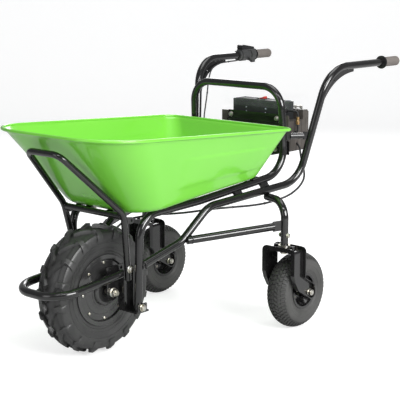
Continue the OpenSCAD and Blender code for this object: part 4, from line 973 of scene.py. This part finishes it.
def box_details():
    """Lid seams, ribs, clips and rivets of the battery and control boxes."""
    low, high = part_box("battery_box")
    bm = bmesh.new()
    # ribs down the battery box's ends and back
    def bar(x0, y0, z0, x1, y1, z1):
        made = bmesh.ops.create_cube(bm, size=1.0)["verts"]
        bmesh.ops.scale(bm, vec=(abs(x1 - x0), abs(y1 - y0), abs(z1 - z0)), verts=made)
        bmesh.ops.translate(bm, vec=((x0 + x1) / 2, (y0 + y1) / 2, (z0 + z1) / 2), verts=made)
    for s in (1, -1):
        face = s * 0.15
        for k in range(5):
            x = low.x + 0.016 + k * 0.021
            top = low.z + 0.082 if k > 2 else high.z - 0.03
            bar(x, face, low.z + 0.012, x + 0.0032, face + s * 0.0013, top)
        bar(low.x + 0.002, face, high.z - 0.024, low.x + 0.03, face + s * 0.0012, high.z - 0.021)
        bar(low.x + 0.002, face, low.z + 0.002, high.x - 0.002, face + s * 0.0016, low.z + 0.007)
    for k in range(9):
        y = -0.12 + k * 0.03
        bar(low.x, y - 0.0018, low.z + 0.012, low.x - 0.0012, y + 0.0018, high.z - 0.016)
    bmesh.ops.bevel(bm, geom=bm.edges[:], offset=0.0005, segments=1, affect="EDGES")
    bmesh.ops.recalc_face_normals(bm, faces=bm.faces)
    finished("battery_box_ribs", bm, BATTERY_PLASTIC, "frame", 30)

    low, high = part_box("control_box")
    bm = bmesh.new()
    for s in (1, -1):
        bar(low.x + 0.004, s * (0.112 - 0.0002), high.z - 0.0085, high.x - 0.004, s * 0.1128, high.z - 0.0065)
    bar(high.x - 0.0002, -0.11, high.z - 0.0085, high.x + 0.0008, 0.11, high.z - 0.0065)
    bar(low.x + 0.0002, -0.11, high.z - 0.0085, low.x - 0.0008, 0.11, high.z - 0.0065)
    # cooling fins on the back, clear of the hood
    for k in range(11):
        y = -0.09 + k * 0.018
        bar(low.x, y - 0.0012, low.z + 0.038, low.x - 0.0022, y + 0.0012, high.z - 0.012)
    bmesh.ops.bevel(bm, geom=bm.edges[:], offset=0.0003, segments=1, affect="EDGES")
    bmesh.ops.recalc_face_normals(bm, faces=bm.faces)
    finished("control_box_trim", bm, CONTROL_PLASTIC, "frame", 30)
    places = [aimed(Vector((high.x, y, high.z - drop)), (1, 0, 0))
              for y in (-0.052, 0.034) for drop in (0.03, 0.045)]
    COPIES.make("control_box_rivets", dome_head(3.2, 1.8, 0.3), places, STEEL, "frame")
    places = [aimed(Vector((x, y, high.z - 0.0001)), (0, 0, 1)) for x in (low.x + 0.009, high.x - 0.009)
              for y in (-0.097, 0.097)]
    COPIES.make("control_lid_screws", dome_head(2.8, 1.6, 0.45), places, STEEL, "frame")


def lead():
    """The short lead's pieces: the run, its brass gland and the two nuts."""
    x = -822
    path = curve_through([at(x, y, z) for y, z in (
        (106, 688), (130, 688), (150, 688), (157, 687), (161, 683), (162, 676), (162, 660), (162, 640),
        (162, 624), (161, 617), (157, 613), (150, 612), (142, 612))], 4)
    finished("battery_lead_run", swept(path, 0.0035, 14), SHEATH, "frame", 60)
    rows = [(3.5, 0), (6.4, 0.6), (6.6, 3), (5.6, 4), (7.4, 6), (7.2, 13), (5.4, 15), (5.6, 26), (3.5, 27)]
    gland = finished("battery_lead_gland", turned(rows, at(x, 162, 644), (0, 0, 1), 32, shut=False), BRASS,
                     "frame", 35)
    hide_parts("battery_lead")
    places = [aimed(at(x, 150.2, 612), (0, 1, 0), 0.2), aimed(at(x, 112.2, 688), (0, 1, 0), 0.1, 0.9)]
    COPIES.make("battery_lead_nuts", hex_head(13.6, 3.6, washer=0.5), places, GLOSS_BLACK,
                "frame")


# ---- welds on the frame ----


def welds():
    """Rippled beads where tubes meet, as copies of one drop set round each joint."""
    def round_joint(centre, axis, radius, count=22, span=math.tau, start=0.0):
        turn = Vector((0, 0, 1)).rotation_difference(Vector(axis)).to_matrix().to_4x4()
        out = []
        for i in range(count):
            a = start + span * i / count
            p = Vector((radius * math.cos(a), radius * math.sin(a), 0)) / 1000
            out.append(Matrix.Translation(centre) @ turn @ Matrix.Translation(p) @ Matrix.Rotation(a, 4, "Z"))
        return out
    bm = bmesh.new()
    bmesh.ops.create_uvsphere(bm, u_segments=10, v_segments=6, radius=0.0026)
    bmesh.ops.scale(bm, vec=(0.8, 1.0, 0.7), verts=bm.verts)
    drop = mesh_of(bm)
    places = []
    for _, s in SIDES:
        places += round_joint(at(-5, s * 123.4, 444), (0, 1, 0), 9.6)
        places += round_joint(at(-68, s * 154.8, 288.5), (-0.93, 0.13, 0.33), 12.4)
        brace = (at(-238, s * 184, 340) - at(-544, s * 311, 355)).normalized()
        places += round_joint(at(-246, s * 187, 341), brace, 12.4, 26)
    COPIES.make("weld_beads", drop, places, FRAME_BLACK, "frame", 60)


# ---- finishes of the carried-over nodes ----


def paint_nodes():
    finishes = {
        "frame_black": FRAME_BLACK, "tray_green": TRAY_GREEN, "grip_rubber": GRIP_RUBBER, "zinc": ZINC,
        "bearing_steel": STEEL, "battery_plastic": BATTERY_PLASTIC, "control_plastic": CONTROL_PLASTIC,
        "black_plastic": GLOSS_BLACK, "switch_red": SWITCH_RED, "clear_plastic": CLEAR,
        "cell_wrap": CELL_WRAP, "board_green": BOARD_GREEN, "copper": COPPER, "cable_sheath": SHEATH,
        "drive_rubber": DRIVE_RUBBER, "caster_rubber": CASTER_RUBBER, "hub_black": HUB_BLACK,
        "rim_black": FRAME_BLACK,
    }
    slots = {s["node"]: s["material_slot"] for s in frame["record"]["subparts"]}
    for name, node in NODES.items():
        for i in range(max(len(node.material_slots), 1)):
            if not node.material_slots:
                node.data.materials.append(finishes[slots[name]])
            node.material_slots[i].material = finishes[slots[name]]
    for name in ("throttle_housing", "throttle_lever"):
        for held in NODES[name].material_slots:
            held.material = THROTTLE_PLASTIC


# ---- the room ----


def room():
    bpy.ops.mesh.primitive_plane_add(size=1)
    floor = bpy.context.object
    floor.name = "floor"
    bm = bmesh.new()
    back = Vector((-0.748, -0.664, 0)).normalized()
    side = Vector((back.y, -back.x, 0))
    profile = [(-7, 0)] + [(5 + 2.2 * math.sin(a), 2.2 - 2.2 * math.cos(a))
                           for a in [math.pi / 2 * k / 12 for k in range(13)]] + [(7.2, 9)]
    rings = []
    for d, h in profile:
        rings.append([bm.verts.new(back * d + side * w + Vector((0, 0, h))) for w in (-9, 9)])
    grid_faces(bm, rings, around=False)
    bm.to_mesh(floor.data)
    bm.free()
    floor.data.shade_smooth()
    f = Finish("studio_floor", Roughness=0.9, Specular_IOR_Level=0.1, Emission_Strength=1.0)
    soft = f.noise(1.5, 2, 0.5)
    f.set("Base Color", f.mix((0.6, 0.6, 0.6), (0.62, 0.62, 0.62), soft))
    seen = f.node("LightPath", output="Is Camera Ray")
    f.set("Emission Color", f.mix((0.0, 0.0, 0.0), (0.62, 0.62, 0.62), seen))
    floor.data.materials.append(f.material)
    floor.location = (0, 0, -0.0005)

    scene = bpy.context.scene
    scene.view_settings.view_transform = "Standard"
    scene.world = scene.world or bpy.data.worlds.new("studio")
    scene.world.use_nodes = True
    tree = scene.world.node_tree
    background = tree.nodes["Background"]
    ray = tree.nodes.new("ShaderNodeLightPath")
    blend = tree.nodes.new("ShaderNodeMix")
    blend.inputs[2].default_value, blend.inputs[3].default_value = 0.42, 0.24
    tree.links.new(ray.outputs["Is Glossy Ray"], blend.inputs[0])
    seen = tree.nodes.new("ShaderNodeMix")
    seen.inputs[3].default_value = 1.0
    tree.links.new(ray.outputs["Is Camera Ray"], seen.inputs[0])
    tree.links.new(blend.outputs[0], seen.inputs[2])
    tree.links.new(seen.outputs[0], background.inputs["Strength"])
    background.inputs["Color"].default_value = (0.97, 0.985, 1.0, 1)


def lamp(name, place, aim, power, size, size_y=None):
    light = bpy.data.lights.new(name, "AREA")
    light.shape = "RECTANGLE"
    light.size, light.size_y = size, size_y or size
    light.energy = power
    made = bpy.data.objects.new(name, light)
    made.location = place
    made.rotation_euler = (Vector(aim) - Vector(place)).to_track_quat("-Z", "Y").to_euler()
    bpy.context.scene.collection.objects.link(made)


def camera():
    lens = bpy.data.cameras.new("camera")
    lens.sensor_width = 36
    lens.lens = 106.4
    made = bpy.data.objects.new("camera", lens)
    made.location = (HUB.x + 2.4317, 2.6009, 1.1833)
    yaw, down = math.radians(221.61), math.radians(11.23)
    look = Vector((math.cos(yaw) * math.cos(down), math.sin(yaw) * math.cos(down), -math.sin(down)))
    made.rotation_euler = look.to_track_quat("-Z", "Y").to_euler()
    bpy.context.scene.collection.objects.link(made)
    bpy.context.scene.camera = made


camera()
room()
lamp("key_soft", (0.5, 3.9, 1.9), (0, 0.1, 0.5), 192, 2.4, 1.5)
lamp("fill_front", (4.3, -0.2, 1.6), (0.2, 0, 0.4), 22, 1.6, 2.4)
lamp("top_soft", (-0.4, 0.3, 3.9), (0, 0, 0.4), 52, 2.4)
lamp("high_strip", (1.3, 1.9, 2.7), (0, 0, 0.4), 26, 3.0, 0.22)
lamp("rear_rim", (-2.8, -2.2, 2.4), (0, 0, 0.5), 45, 1.6)

paint_nodes()
tray()
drive_tyre()
drive_tread()
sidewall_rings()
hub_details()
caster_tyres()
caster_hardware()
frame_bolts()
axle_hardware()
grips()
held_cables()
throttle_details()
box_details()
lead()
welds()
